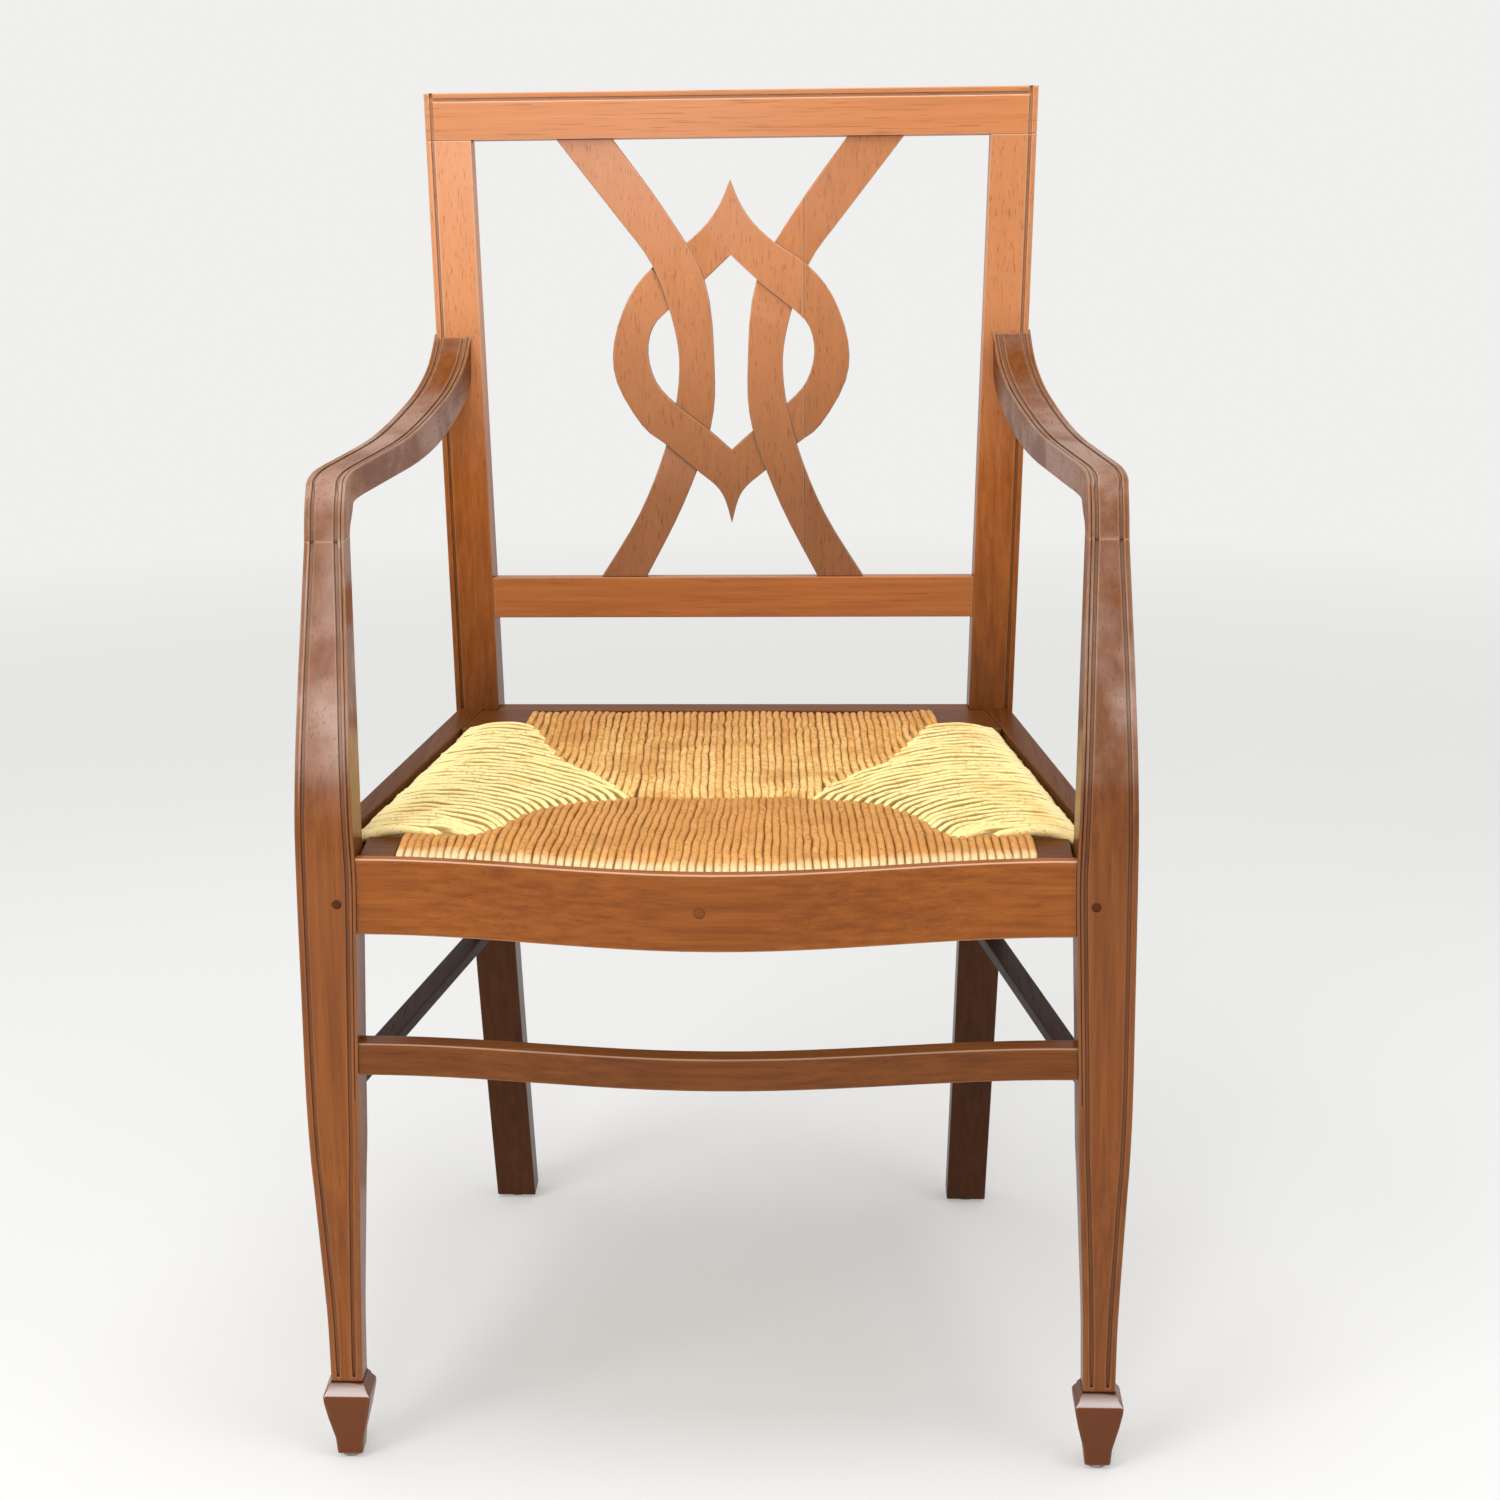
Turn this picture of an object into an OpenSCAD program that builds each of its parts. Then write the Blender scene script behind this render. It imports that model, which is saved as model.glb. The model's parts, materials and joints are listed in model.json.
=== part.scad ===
// Open armchair with a lift-out rush seat, in millimetres.
// The front looks along -Y, +Z is up and the origin is on the floor under the middle of the chair.

/* [Overall] */
// Height of the crest rail's top edge
total_h = 918; // [880:1:960]
// Height of the seat rails' top edge
seat_h = 441; // [425:1:455]
// Depth from the front legs' face to the rear posts' face, at the seat
seat_run = 402; // [380:1:425]
// Height of the nail-on glides under the feet
glide_h = 3; // [2:0.5:5]

/* [Rear posts] */
// Half of the clear width between the posts at the floor
post_gap_floor = 172; // [165:0.5:180]
// Half of the clear width between the posts at the seat
post_gap_seat = 184.5; // [178:0.5:190]
// Half of the clear width between the posts at the top
post_gap_top = 201.5; // [195:0.5:208]
// Width of a post at the floor
post_w_floor = 31.5; // [28:0.5:36]
// Width of a post at the seat
post_w_seat = 34; // [32:0.5:38]
// Width of a post at the top
post_w_top = 35; // [32:0.5:40]
// Depth of a post at the floor
post_d_floor = 28; // [24:0.5:34]
// Depth of a post at the seat
post_d_seat = 40; // [36:0.5:44]
// Depth of a post, and of the crest rail, at the top
post_d_top = 24; // [22:0.5:30]
// How far the top of the back leans behind the seat
back_lean = 53; // [40:1:65]
// How far the rear feet stand behind the posts' face at the seat
leg_kick = 62; // [45:1:75]
// Sharpness of the rear legs' sweep, 1 is straight
kick_power = 1.5; // [1.2:0.1:2]

/* [Back] */
// Height of the crest rail
crest_h = 36; // [30:1:44]
// Height of the lower back rail's bottom edge above the seat, along the back
low_rail_up = 72; // [60:1:90]
// Height of the lower back rail
low_rail_h = 31.5; // [26:0.5:38]
// Thickness of the lower back rail
low_rail_d = 20; // [18:0.5:24]
// Half of the splat's width where its straps meet the crest rail
splat_top_x = 134.5; // [125:0.5:150]
// Thickness of the splat
splat_d = 12; // [10:0.5:14]
// How far the splat stands behind the rails' face
splat_set = 4; // [2:0.5:6]
// Depth of the carved steps where the straps and the ring cross
relief_d = 1.6; // [0.8:0.1:2.5]
// Length of a carved slope beside a crossing
relief_run = 26; // [15:1:35]
// Place of the glued joint across the splat
glue_x = 57; // [50:1:60]

/* [Arms] */
// Height of an arm's top edge where it meets the post
arm_post_z = 734; // [715:1:750]
// Height of the arm's top at the front
arm_front_z = 686; // [675:1:700]
// Height of the joint between the arm and its support
arm_joint_z = 643.5; // [635:0.5:652]
// How far the arm support leans back at that joint
support_lean = 58; // [45:1:65]
// Depth of the support at that joint
support_d = 25.5; // [24:0.5:28]
// How far the support's outer side stands in at that joint, from the leg's at the seat
support_in_out = 4; // [2:0.1:6]
// The same for its inner side
support_in_in = 8.6; // [5:0.1:10]
// How far the arm stands out past the post's outer side
arm_proud = 1.5; // [0:0.5:3]
// Thickness of an arm in its middle
arm_t = 24; // [20:0.5:27]
// Width of an arm at the post
arm_w_rear = 29; // [26:0.5:31]

/* [Front legs] */
// Distance of the front legs' outer side from the middle, at the seat
leg_out = 276.2; // [270:0.1:290]
// Width of a front leg at the seat
leg_w = 39.6; // [36:0.1:42]
// Depth of a front leg at the seat
leg_d = 38; // [35:0.5:42]
// Height at which the leg starts to taper
taper_z = 272; // [262:1:280]
// How far the foot's middle stands outside the leg's
foot_out = 2.1; // [0:0.1:4]
// Width of the leg just above the spade foot
neck_w = 22; // [20:0.5:25]
// Height of the spade foot's neck
spade_neck_z = 58.5; // [54:0.5:66]
// Height of the spade foot's widest line
spade_wide_z = 50; // [44:0.5:52]
// Width of the spade foot at its widest line
spade_w = 33; // [30:0.5:37]
// Width of the spade foot at the bottom
spade_base_w = 17.5; // [16:0.5:20]
// How far the front face draws back towards the foot
leg_draw = 11; // [6:0.5:14]

/* [Seat rails] */
// Height of the seat rails
rail_h = 52.5; // [48:0.5:58]
// Thickness of the front seat rail
front_rail_t = 26; // [24:0.5:30]
// How far the front rail's ends stand behind the legs' face
rail_set = 2; // [1:0.5:4]
// How far the front rail bows forward in the middle
rail_bow = 33; // [25:1:38]
// How far the side rails' outer face stands inside the leg's outer side
side_set_front = 8.2; // [6:0.1:12]
// How far the side rails' outer face stands inside the post's outer side
side_set_rear = 2.5; // [1:0.5:6]
// Thickness of the side seat rails
side_rail_t = 28; // [26:0.5:30]
// Width of the side rails' top strip at the front
side_lip_front = 13; // [11:0.5:15]
// Width of the side rails' top strip at the rear
side_lip_rear = 18.5; // [16:0.5:20]
// Width of the front rail's top strip
front_lip = 8; // [7:0.5:10]
// Distance of the rear rail's face in front of the posts' face
rear_rail_fore = 18; // [16:0.5:22]
// Thickness of the rear seat rail
rear_rail_t = 32; // [30:0.5:36]
// Width of the ledge that the rear rail gives the seat
rear_ledge = 12; // [10:0.5:14]
// Depth of the rebate that the seat drops into
rebate_d = 26; // [24:0.5:30]

/* [Stretchers] */
// Height of the front stretcher's top edge
front_str_z = 312; // [295:1:325]
// Height of the front stretcher
front_str_h = 22.5; // [20:0.5:26]
// Thickness of the front stretcher
front_str_t = 16; // [14:0.5:20]
// How far the front stretcher bows forward in the middle
front_str_bow = 25; // [18:1:32]
// Height of the side stretchers' top edge
side_str_z = 270; // [262:1:280]
// Height of the side stretchers
side_str_h = 9; // [8:0.5:12]
// Width of the side stretchers
side_str_w = 16; // [14:0.5:18]

/* [Lift-out seat] */
// Gap between the seat and the rails around it
seat_gap = 1; // [0.6:0.1:2]
// Thickness of the seat frame's rails under the rush
frame_t = 14; // [12:0.5:16]
// Width of the seat frame's rails
frame_w = 32; // [28:0.5:36]
// Thickness of the rush cord round a frame rail
rush_t = 5.5; // [5:0.1:7]
// How far the rush rises above the seat rails at its edges
rush_proud = 2.5; // [1.5:0.1:4]
// Further height of the rush's crown
rush_crown = 5; // [3:0.5:8]
// Place of the line where the front and rear rush meet, from the legs' face
meet_run = 138; // [125:1:160]
// Half of that line's length
meet_x = 65; // [50:1:75]
// Length of a seat corner's bare wood along the side, at the front
corner_front_y = 42; // [38:1:46]
// Bare wood across the seat's front corner
corner_front_x = 23; // [20:1:30]
// Length of a seat corner's bare wood along the side, at the rear
corner_rear_y = 56; // [48:1:62]
// Bare wood across the seat's rear corner
corner_rear_x = 45; // [38:1:50]

/* [Mouldings] */
// Width of the bead along the edges
bead_w = 4.2; // [3:0.1:5]
// Width of the groove beside the bead
groove_w = 2.2; // [1.2:0.1:2.6]
// Depth of the groove
groove_d = 1.4; // [0.6:0.1:1.8]
// Width of each of the two small beads along the inner edges of the arms and their supports
small_bead_w = 2; // [1.5:0.1:3]
// Width of the fine line between the two beads
line_w = 0.7; // [0.5:0.1:1]

/* [Joints] */
// Clearance round a tenon, pin or screw
fit = 0.1; // [0.05:0.01:0.2]
// Thickness of the tenons
tenon_t = 8; // [7:0.5:9]
// Radius of the pegs and dowels
peg_r = 3; // [2.5:0.25:3.5]
// Radius of the dowel between an arm and its support
dowel_r = 4.5; // [4:0.25:5]
// Radius of the screws' shanks
screw_r = 2; // [1.75:0.25:2.25]
// Radius of the glides under the rear feet
glide_r_rear = 9; // [7:0.5:10]
// Radius of the glides under the front feet
glide_r_front = 7; // [5:0.5:7.5]

/* [Hidden] */
$fn = 48;
wood = "saddlebrown";
dark = "sienna";
reed = "burlywood";
steel = "silver";
rake = atan(back_lean / (total_h - seat_h));
front_most = rail_bow - rail_set;
y_leg = front_most - (front_most + seat_run + leg_kick + post_d_floor) / 2;
y_post = y_leg + seat_run;
y_back = y_leg + leg_d;
back_len = (total_h - seat_h) / cos(rake);
crest_v = back_len - crest_h;
low_top_v = low_rail_up + low_rail_h;
leg_in = leg_out - leg_w;
leg_mid = leg_out - leg_w / 2;
foot_mid = leg_mid + foot_out;
side_out_front = leg_out - side_set_front;
side_out_rear = post_gap_seat + post_w_seat - side_set_rear;
ledge_z = seat_h - rebate_d;
rail_z = seat_h - rail_h;
y_foot = y_back - (neck_w + 1) / 2;
big = 600;

// Plain helpers

function lerp(a, b, t) = a + (b - a) * t;
function flip(pts) = [for (i = [len(pts) - 1:-1:0]) pts[i]];
function mirrored(pts) = [for (p = pts) [-p.x, p.y]];

// A smooth line through points, with a few steps between each pair
function curve_pt(a, b, c, d, t) =
    0.5 * (2 * b + (c - a) * t + (2 * a - 5 * b + 4 * c - d) * t * t
    + (3 * b - a - 3 * c + d) * t * t * t);
function smooth(pts, steps = 4) = concat([
    for (i = [0:len(pts) - 2], s = [0:steps - 1])
        curve_pt(pts[max(i - 1, 0)], pts[i], pts[i + 1], pts[min(i + 2, len(pts) - 1)], s / steps)
], [pts[len(pts) - 1]]);

// A line of points shifted sideways by d, to the left of its direction
function unit(v) = v / norm(v);
function beside(pts, d) = [
    for (i = [0:len(pts) - 1])
        let (t = unit(pts[min(i + 1, len(pts) - 1)] - pts[max(i - 1, 0)]))
            pts[i] + d * [-t.y, t.x]
];

module both() {
    children();
    mirror([1, 0, 0]) children();
}

module block(lo, hi, grow = 0) {
    pad = [grow, grow, grow];
    translate(lo - pad) cube(hi - lo + 2 * pad);
}

// An outline of [x, z] points, extruded along Y over the whole chair
module front_view(pts) {
    translate([0, big, 0]) rotate([90, 0, 0]) linear_extrude(height = 2 * big) polygon(pts);
}

// An outline of [y, z] points, extruded along X from x0 to x1
module side_view(pts, x0 = 100, x1 = 300) {
    translate([x0, 0, 0]) rotate([90, 0, 90]) linear_extrude(height = x1 - x0) polygon(pts);
}

// An outline of [x, y] points, extruded upwards from z0 to z1
module plan(pts, z0, z1) {
    translate([0, 0, z0]) linear_extrude(height = z1 - z0) polygon(pts);
}

// Rear posts: stile and rear leg in one piece

function kick(z) = leg_kick * pow((seat_h - z) / (seat_h - glide_h), kick_power);
function post_face(z) = z < seat_h ? y_post + kick(z) : y_post + (z - seat_h) * tan(rake);
function post_depth(z) = lerp(post_d_floor, post_d_seat, z / seat_h);
function post_in(z) = z < seat_h ? lerp(post_gap_floor, post_gap_seat, z / seat_h)
    : lerp(post_gap_seat, post_gap_top, (z - seat_h) / (total_h - seat_h));
function post_w(z) = z < seat_h ? lerp(post_w_floor, post_w_seat, z / seat_h)
    : lerp(post_w_seat, post_w_top, (z - seat_h) / (total_h - seat_h));
function post_out(z) = post_in(z) + post_w(z);

// A point of the leaning back: d behind its face, v up along it
function back_pt(d, v) = [
    y_post + d * cos(rake) + v * sin(rake),
    seat_h - d * sin(rake) + v * cos(rake)
];
function back_z(v) = seat_h + v * cos(rake);

module in_back() translate([0, y_post, seat_h]) rotate([-rake, 0, 0]) children();

// An outline of [x, v] points on the back's face, from d0 to d1 behind it
module on_back(pts, d0, d1) {
    in_back() translate([0, d1, 0]) rotate([90, 0, 0]) linear_extrude(height = d1 - d0) polygon(pts);
}

leg_steps = 9;
leg_zs = [for (i = [0:leg_steps]) lerp(glide_h, seat_h, i / leg_steps)];
post_front_line = concat([for (z = leg_zs) [post_face(z), z]], [back_pt(0, crest_v)]);
post_rear_line = concat([for (z = leg_zs) [post_face(z) + post_depth(z), z]],
    [back_pt(post_d_top, crest_v)]);

module post_blank() {
    zs = [glide_h, seat_h, total_h];
    intersection() {
        side_view(concat(post_front_line, flip(post_rear_line)));
        front_view(concat([for (z = zs) [post_in(z), z]], [for (z = flip(zs)) [post_out(z), z]]));
    }
}

post_tenon_l = 24;
module post_tenon(grow = 0) {
    mid = (post_in(back_z(crest_v)) + post_out(back_z(crest_v))) / 2;
    in_back() block([mid - 10, 8, crest_v - 2], [mid + 10, 8 + tenon_t, crest_v + post_tenon_l], grow);
}

// The groove beside the bead, down the outer edge of each stile
module post_groove() {
    zs = [seat_h, total_h];
    band = concat([back_pt(-1, 0), back_pt(-1, back_len)],
        [back_pt(groove_d, back_len), back_pt(groove_d, 0)]);
    intersection() {
        side_view(band);
        front_view(concat([for (z = zs) [post_out(z) - bead_w - groove_w, z]],
            [for (z = flip(zs)) [post_out(z) - bead_w, z]]));
    }
}

module rear_post() {
    difference() {
        union() {
            post_blank();
            post_tenon();
        }
        post_groove();
        low_rail_tenon(fit);
        rear_rail_tenon(fit);
        side_rail_tenon_rear(fit);
        side_str_tenon_rear(fit);
        arm_screw(fit);
        arm_screw_plug(fit);
        rear_glide_pin(fit);
    }
}

// Crest rail

function crest_x(v) = post_out(back_z(v));
module crest_rail() {
    low = crest_v;
    high = back_len;
    bead_v = high - bead_w;
    difference() {
        on_back([[-crest_x(low), low], [crest_x(low), low], [crest_x(high), high],
            [-crest_x(high), high]], 0, post_d_top);
        on_back([[-crest_x(bead_v) + bead_w, bead_v], [crest_x(bead_v) - bead_w, bead_v],
            [crest_x(bead_v) - bead_w, bead_v - groove_w],
            [-crest_x(bead_v) + bead_w, bead_v - groove_w]], -1, groove_d);
        both() post_groove();
        in_back() block([-crest_x(high) - 5, -2, high - bead_w], [crest_x(high) + 5, -1, high + 1]);
        both() post_tenon(fit);
        in_back() both() splat_tenon_top(fit);
    }
}

// Lower back rail

module low_rail_tenon(grow = 0) {
    x = post_in(back_z(low_rail_up)) - 3;
    in_back() block([x, 6, low_rail_up + 5], [x + 19, 6 + tenon_t, low_top_v - 5], grow);
}

module lower_back_rail() {
    reach = post_gap_top;
    difference() {
        on_back([[-reach, low_rail_up], [reach, low_rail_up], [reach, low_top_v],
            [-reach, low_top_v]], 0, low_rail_d);
        both() post_blank();
        in_back() both() splat_tenon_bottom(fit);
    }
    both() low_rail_tenon();
}

// Splat: one glued-up board, fretted and carved as two straps woven through a pointed ring

splat_h = crest_v - low_top_v;
kx = splat_top_x / 134.5;
kv = splat_h / 340;
function on_splat(pts) = [for (p = pts) [p.x * kx, low_top_v + p.y * kv]];

strap_out = on_splat(smooth([[134.5, 340], [88.7, 281], [60.3, 241.6], [43, 190], [41, 150],
    [51.3, 102], [72, 50], [102.5, 0]]));
strap_in = on_splat(smooth([[91, 340], [50.3, 284], [20.1, 230], [13, 165], [16.3, 116],
    [38.2, 56], [67, 0]]));
ring_out = on_splat(smooth([[0, 308], [7, 291], [17.5, 275], [33.5, 260], [60, 241.6],
    [79, 218], [91, 183], [89, 152], [69.5, 118.3], [51.4, 103.7], [25.4, 82], [12, 71],
    [5, 60], [0, 42]], 3));
ring_in = on_splat(smooth([[0, 250], [22.5, 229], [48.5, 208], [61, 194], [64.7, 174],
    [58.6, 152], [43.5, 135], [17.5, 114.5], [0, 99]], 3));

strap = concat(strap_out, flip(strap_in));
ring = concat(ring_out, flip(mirrored(ring_out)));
ring_hole = concat(ring_in, flip(mirrored(ring_in)));

module strap_2d(side) scale([side, 1]) polygon(strap);
module ring_2d() {
    difference() {
        polygon(ring);
        polygon(ring_hole);
    }
}

// A wedge that grows deeper towards a crossing's middle [x, v], along direction a
module carved_wedge(centre, a, reach) {
    steep = atan(relief_d / relief_run);
    half = 40;
    translate([centre.x, splat_set, centre.y]) rotate([0, -a, 0]) translate([reach, 0, 0])
        rotate([0, 0, -steep]) translate([-2 * relief_run, -8, -half])
        cube([2 * relief_run, 8, 2 * half]);
}

// The part of one member that is cut lower beside the member that crosses over it
module under_cut(centre, a, reach) {
    for (turn = [0, 180]) carved_wedge(centre, a + turn, reach + relief_run);
}

cross_up = [47 * kx, low_top_v + 236 * kv];
cross_low = [36 * kx, low_top_v + 106 * kv];
cross_reach = 17;

// A 2D outline as a board from d0 to d1 behind the back's face, not yet leaning
module board(d0, d1) {
    translate([0, d1, 0]) rotate([90, 0, 0]) linear_extrude(height = d1 - d0) children();
}

module splat_slab() {
    board(splat_set, splat_set + splat_d) union() {
        strap_2d(1);
        strap_2d(-1);
        ring_2d();
    }
}

// Lowered faces: the ring under the left strap at the top and under the right one at the
// bottom, the straps under the ring at the other two crossings
module splat_relief() {
    intersection() {
        board(splat_set - 1, splat_set + relief_d + 1) difference() {
            ring_2d();
            strap_2d(-1);
            strap_2d(1);
        }
        union() {
            under_cut([-cross_up.x, cross_up.y], 38, cross_reach);
            under_cut([cross_low.x, cross_low.y], 40, cross_reach);
        }
    }
    intersection() {
        board(splat_set - 1, splat_set + relief_d + 1) difference() {
            union() {
                strap_2d(1);
                strap_2d(-1);
            }
            ring_2d();
        }
        union() {
            under_cut([cross_up.x, cross_up.y], 60, cross_reach);
            under_cut([-cross_low.x, cross_low.y], 66, cross_reach);
        }
    }
}

splat_tenon_t = 6;
top_mid = (91 + 134.5) / 2 * kx;
low_mid = (67 + 102.5) / 2 * kx;
module splat_tenon_top(grow = 0) {
    d = splat_set + 3;
    block([top_mid - 17, d, crest_v - 2], [top_mid + 17, d + splat_tenon_t, crest_v + 9], grow);
}

module splat_tenon_bottom(grow = 0) {
    d = splat_set + 3;
    block([low_mid - 13, d, low_top_v - 9], [low_mid + 13, d + splat_tenon_t, low_top_v + 2], grow);
}

module splat() {
    difference() {
        splat_slab();
        splat_relief();
    }
    both() splat_tenon_top();
    both() splat_tenon_bottom();
}

module right_of_glue() block([glue_x * kx, -big, -big], [big, big, 2 * big]);

module splat_main_board() {
    in_back() difference() {
        splat();
        right_of_glue();
    }
}

module splat_edge_board() {
    in_back() intersection() {
        splat();
        right_of_glue();
    }
}

// Arms

y_joint = y_leg + support_lean;
post_y_at = post_face(arm_post_z);
arm_drop = arm_post_z - arm_front_z;
knuckle_h = arm_front_z - arm_joint_z;
function arm_y(t) = lerp(post_y_at, y_joint, t);
arm_top_line = smooth([
    [post_y_at + 2, arm_post_z],
    [arm_y(0.06), arm_post_z - arm_drop * 0.42],
    [arm_y(0.16), arm_post_z - arm_drop * 0.7],
    [arm_y(0.28), arm_post_z - arm_drop * 0.86],
    [arm_y(0.44), arm_front_z + 0.5],
    [arm_y(0.58), arm_front_z - 1.5],
    [arm_y(0.75), arm_front_z - 0.5],
    [arm_y(0.87), arm_front_z],
    [y_joint + support_d * 1.06, arm_front_z - knuckle_h * 0.07],
    [y_joint + support_d * 0.5, arm_front_z - knuckle_h * 0.26],
    [y_joint + support_d * 0.16, arm_front_z - knuckle_h * 0.58],
    [y_joint, arm_joint_z]
]);
arm_under_line = smooth([
    [y_joint + support_d, arm_joint_z],
    [y_joint + support_d * 1.2, arm_joint_z + knuckle_h * 0.3],
    [y_joint + support_d * 1.7, arm_joint_z + knuckle_h * 0.5],
    [arm_y(0.7), arm_front_z - arm_t * 0.92],
    [arm_y(0.46), arm_front_z - arm_t],
    [arm_y(0.27), arm_front_z - arm_t * 0.81],
    [arm_y(0.07), arm_front_z - arm_t * 0.13],
    [post_y_at + 1, arm_post_z - arm_t * 1.29]
]);

// The arm's two sides seen from above, as lines of [x, y] from the support to the post
arm_out_rear = post_out(arm_post_z) + arm_proud;
arm_in_rear = arm_out_rear - arm_w_rear;
arm_out_front = leg_out - support_in_out;
arm_in_front = leg_in + support_in_in;
function arm_side(front, rear) = smooth([[front, y_joint - 5], [front, y_joint + support_d * 0.5],
    [front, y_joint + support_d], [lerp(rear, front, 0.82), arm_y(0.82)],
    [lerp(rear, front, 0.5), arm_y(0.5)],
    [lerp(rear, front, 0.2), arm_y(0.2)], [rear, post_y_at], [rear, post_y_at + 10]], 3);
arm_out_line = arm_side(arm_out_front, arm_out_rear);
arm_in_line = arm_side(arm_in_front, arm_in_rear);

module arm_plan(line_a, line_b) {
    plan(concat(line_a, flip(line_b)), arm_joint_z - 1, arm_post_z + 10);
}

module arm_blank() {
    difference() {
        intersection() {
            side_view(concat(arm_top_line, arm_under_line));
            arm_plan(arm_out_line, arm_in_line);
        }
        post_blank();
    }
}

function moved(pts, dx) = [for (p = pts) [p.x + dx, p.y]];
inner_groove_x = 2 * small_bead_w + line_w;

module arm_grooves() {
    intersection() {
        side_view(concat(beside(arm_top_line, groove_d), flip(beside(arm_top_line, -2))));
        union() {
            arm_plan(moved(arm_out_line, -bead_w), moved(arm_out_line, -bead_w - groove_w));
            arm_plan(moved(arm_in_line, inner_groove_x), moved(arm_in_line, inner_groove_x + groove_w));
        }
    }
    intersection() {
        side_view(concat(beside(arm_top_line, line_w), flip(beside(arm_top_line, -2))));
        arm_plan(moved(arm_in_line, small_bead_w), moved(arm_in_line, small_bead_w + line_w));
    }
}

module arm() {
    difference() {
        arm_blank();
        arm_grooves();
        arm_dowel(fit);
        arm_screw(fit);
    }
}

// Dowel between the arm and its support, along the leaning support
dowel_l = 34;
support_tilt = atan(support_lean / (arm_joint_z - seat_h)) * 0.8;
module arm_dowel(grow = 0) {
    translate([leg_mid, y_joint + support_d / 2, arm_joint_z]) rotate([-support_tilt, 0, 0])
        translate([0, 0, -dowel_l / 2 - grow]) cylinder(r = dowel_r + grow, h = dowel_l + 2 * grow);
}

// Screw from behind each post into the arm, under a wooden plug
screw_z = arm_post_z - arm_t;
screw_x = arm_out_rear - arm_w_rear / 2;
post_screw_depth = lerp(post_d_seat, post_d_top, (screw_z - seat_h) / (total_h - seat_h));
screw_head_y = post_face(screw_z) + post_screw_depth - 7;
screw_l = 40;
plug_r = 5;
module along_y(x, y, z) translate([x, y, z]) rotate([-90, 0, 0]) children();

module arm_screw(grow = 0) {
    along_y(screw_x, screw_head_y, screw_z) {
        translate([0, 0, -screw_l - grow]) cylinder(r = screw_r + grow, h = screw_l + grow);
        translate([0, 0, -3 - grow]) cylinder(r = plug_r - 0.8 + grow, h = 3 + 2 * grow);
    }
}

module arm_screw_plug(grow = 0) {
    intersection() {
        along_y(screw_x, screw_head_y + 0.2 - grow, screw_z) cylinder(r = plug_r + grow, h = 20);
        if (grow == 0) post_blank();
    }
    if (grow > 0) along_y(screw_x, screw_head_y + 0.2 - grow, screw_z) cylinder(r = plug_r + grow, h = 20);
}

// Front legs: arm support, leg and spade foot in one piece

taper_h = taper_z - spade_neck_z;
function up_support(t) = lerp(seat_h, arm_joint_z, t);
leg_out_line = smooth([
    [leg_out - support_in_out, arm_joint_z],
    [leg_out - support_in_out * 0.3, up_support(0.6)],
    [leg_out + 0.1, up_support(0.24)],
    [leg_out, seat_h - 30],
    [leg_out - 0.2, taper_z + 20],
    [leg_out - 1.2, taper_z - taper_h * 0.17],
    [leg_out - 2.8, taper_z - taper_h * 0.34],
    [foot_mid + neck_w / 2 + 1, taper_z - taper_h * 0.73],
    [foot_mid + neck_w / 2, spade_neck_z + 4]
]);
leg_in_line = smooth([
    [leg_in + support_in_in, arm_joint_z],
    [leg_in + support_in_in * 0.57, up_support(0.52)],
    [leg_in + support_in_in * 0.3, up_support(0.24)],
    [leg_in + 0.4, seat_h],
    [leg_in + 0.2, seat_h - 30],
    [leg_in + 3.2, taper_z + 20],
    [leg_in + 4.4, taper_z - taper_h * 0.17],
    [leg_in + 6.3, taper_z - taper_h * 0.34],
    [foot_mid - neck_w / 2 - 1, taper_z - taper_h * 0.73],
    [foot_mid - neck_w / 2, spade_neck_z + 4]
]);

// Half outline of the spade foot about its middle: [half width, z]
base_z = spade_wide_z * 0.3;
chamfer_w = (spade_w - neck_w) / 2;
spade_half = [
    [neck_w / 2, spade_neck_z],
    [neck_w / 2 + chamfer_w * 0.35, lerp(spade_neck_z, spade_wide_z, 0.3)],
    [neck_w / 2 + chamfer_w * 0.5, lerp(spade_neck_z, spade_wide_z, 0.55)],
    [spade_w / 2, spade_wide_z],
    [spade_w / 2 - 0.4, lerp(spade_wide_z, base_z, 0.15)],
    [lerp(spade_w, spade_base_w, 0.45) / 2 + 0.8, lerp(spade_wide_z, base_z, 0.5)],
    [spade_base_w / 2 + 1, base_z],
    [spade_base_w / 2, glide_h]
];
function spade(mid, side) = [for (p = spade_half) [mid + side * p.x, p.y]];

function support_y(t) = lerp(y_leg, y_joint, t);
leg_front_line = smooth([
    [y_joint, arm_joint_z],
    [support_y(0.74), up_support(0.75)],
    [support_y(0.44), up_support(0.5)],
    [support_y(0.16), up_support(0.25)],
    [y_leg, seat_h - 3],
    [y_leg, taper_z + 20],
    [y_leg + leg_draw * 0.14, taper_z - taper_h * 0.17],
    [y_leg + leg_draw * 0.4, taper_z - taper_h * 0.34],
    [y_foot - neck_w / 2 - 1.2, taper_z - taper_h * 0.73],
    [y_foot - neck_w / 2, spade_neck_z + 4]
]);
function support_rear(t) = [support_y(t) + lerp(leg_d, support_d, t), up_support(t)];
leg_rear_line = smooth([
    [y_joint + support_d, arm_joint_z],
    support_rear(0.75),
    support_rear(0.47),
    support_rear(0.2),
    [y_back, seat_h - 3],
    [y_back, taper_z + 20],
    [y_back, taper_z - taper_h * 0.34],
    [y_foot + neck_w / 2, spade_neck_z + 4]
]);

module leg_blank() {
    intersection() {
        front_view(concat(leg_out_line, spade(foot_mid, 1), flip(spade(foot_mid, -1)), flip(leg_in_line)));
        side_view(concat(leg_front_line, spade(y_foot, -1), flip(spade(y_foot, 1)), flip(leg_rear_line)));
    }
}

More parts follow.
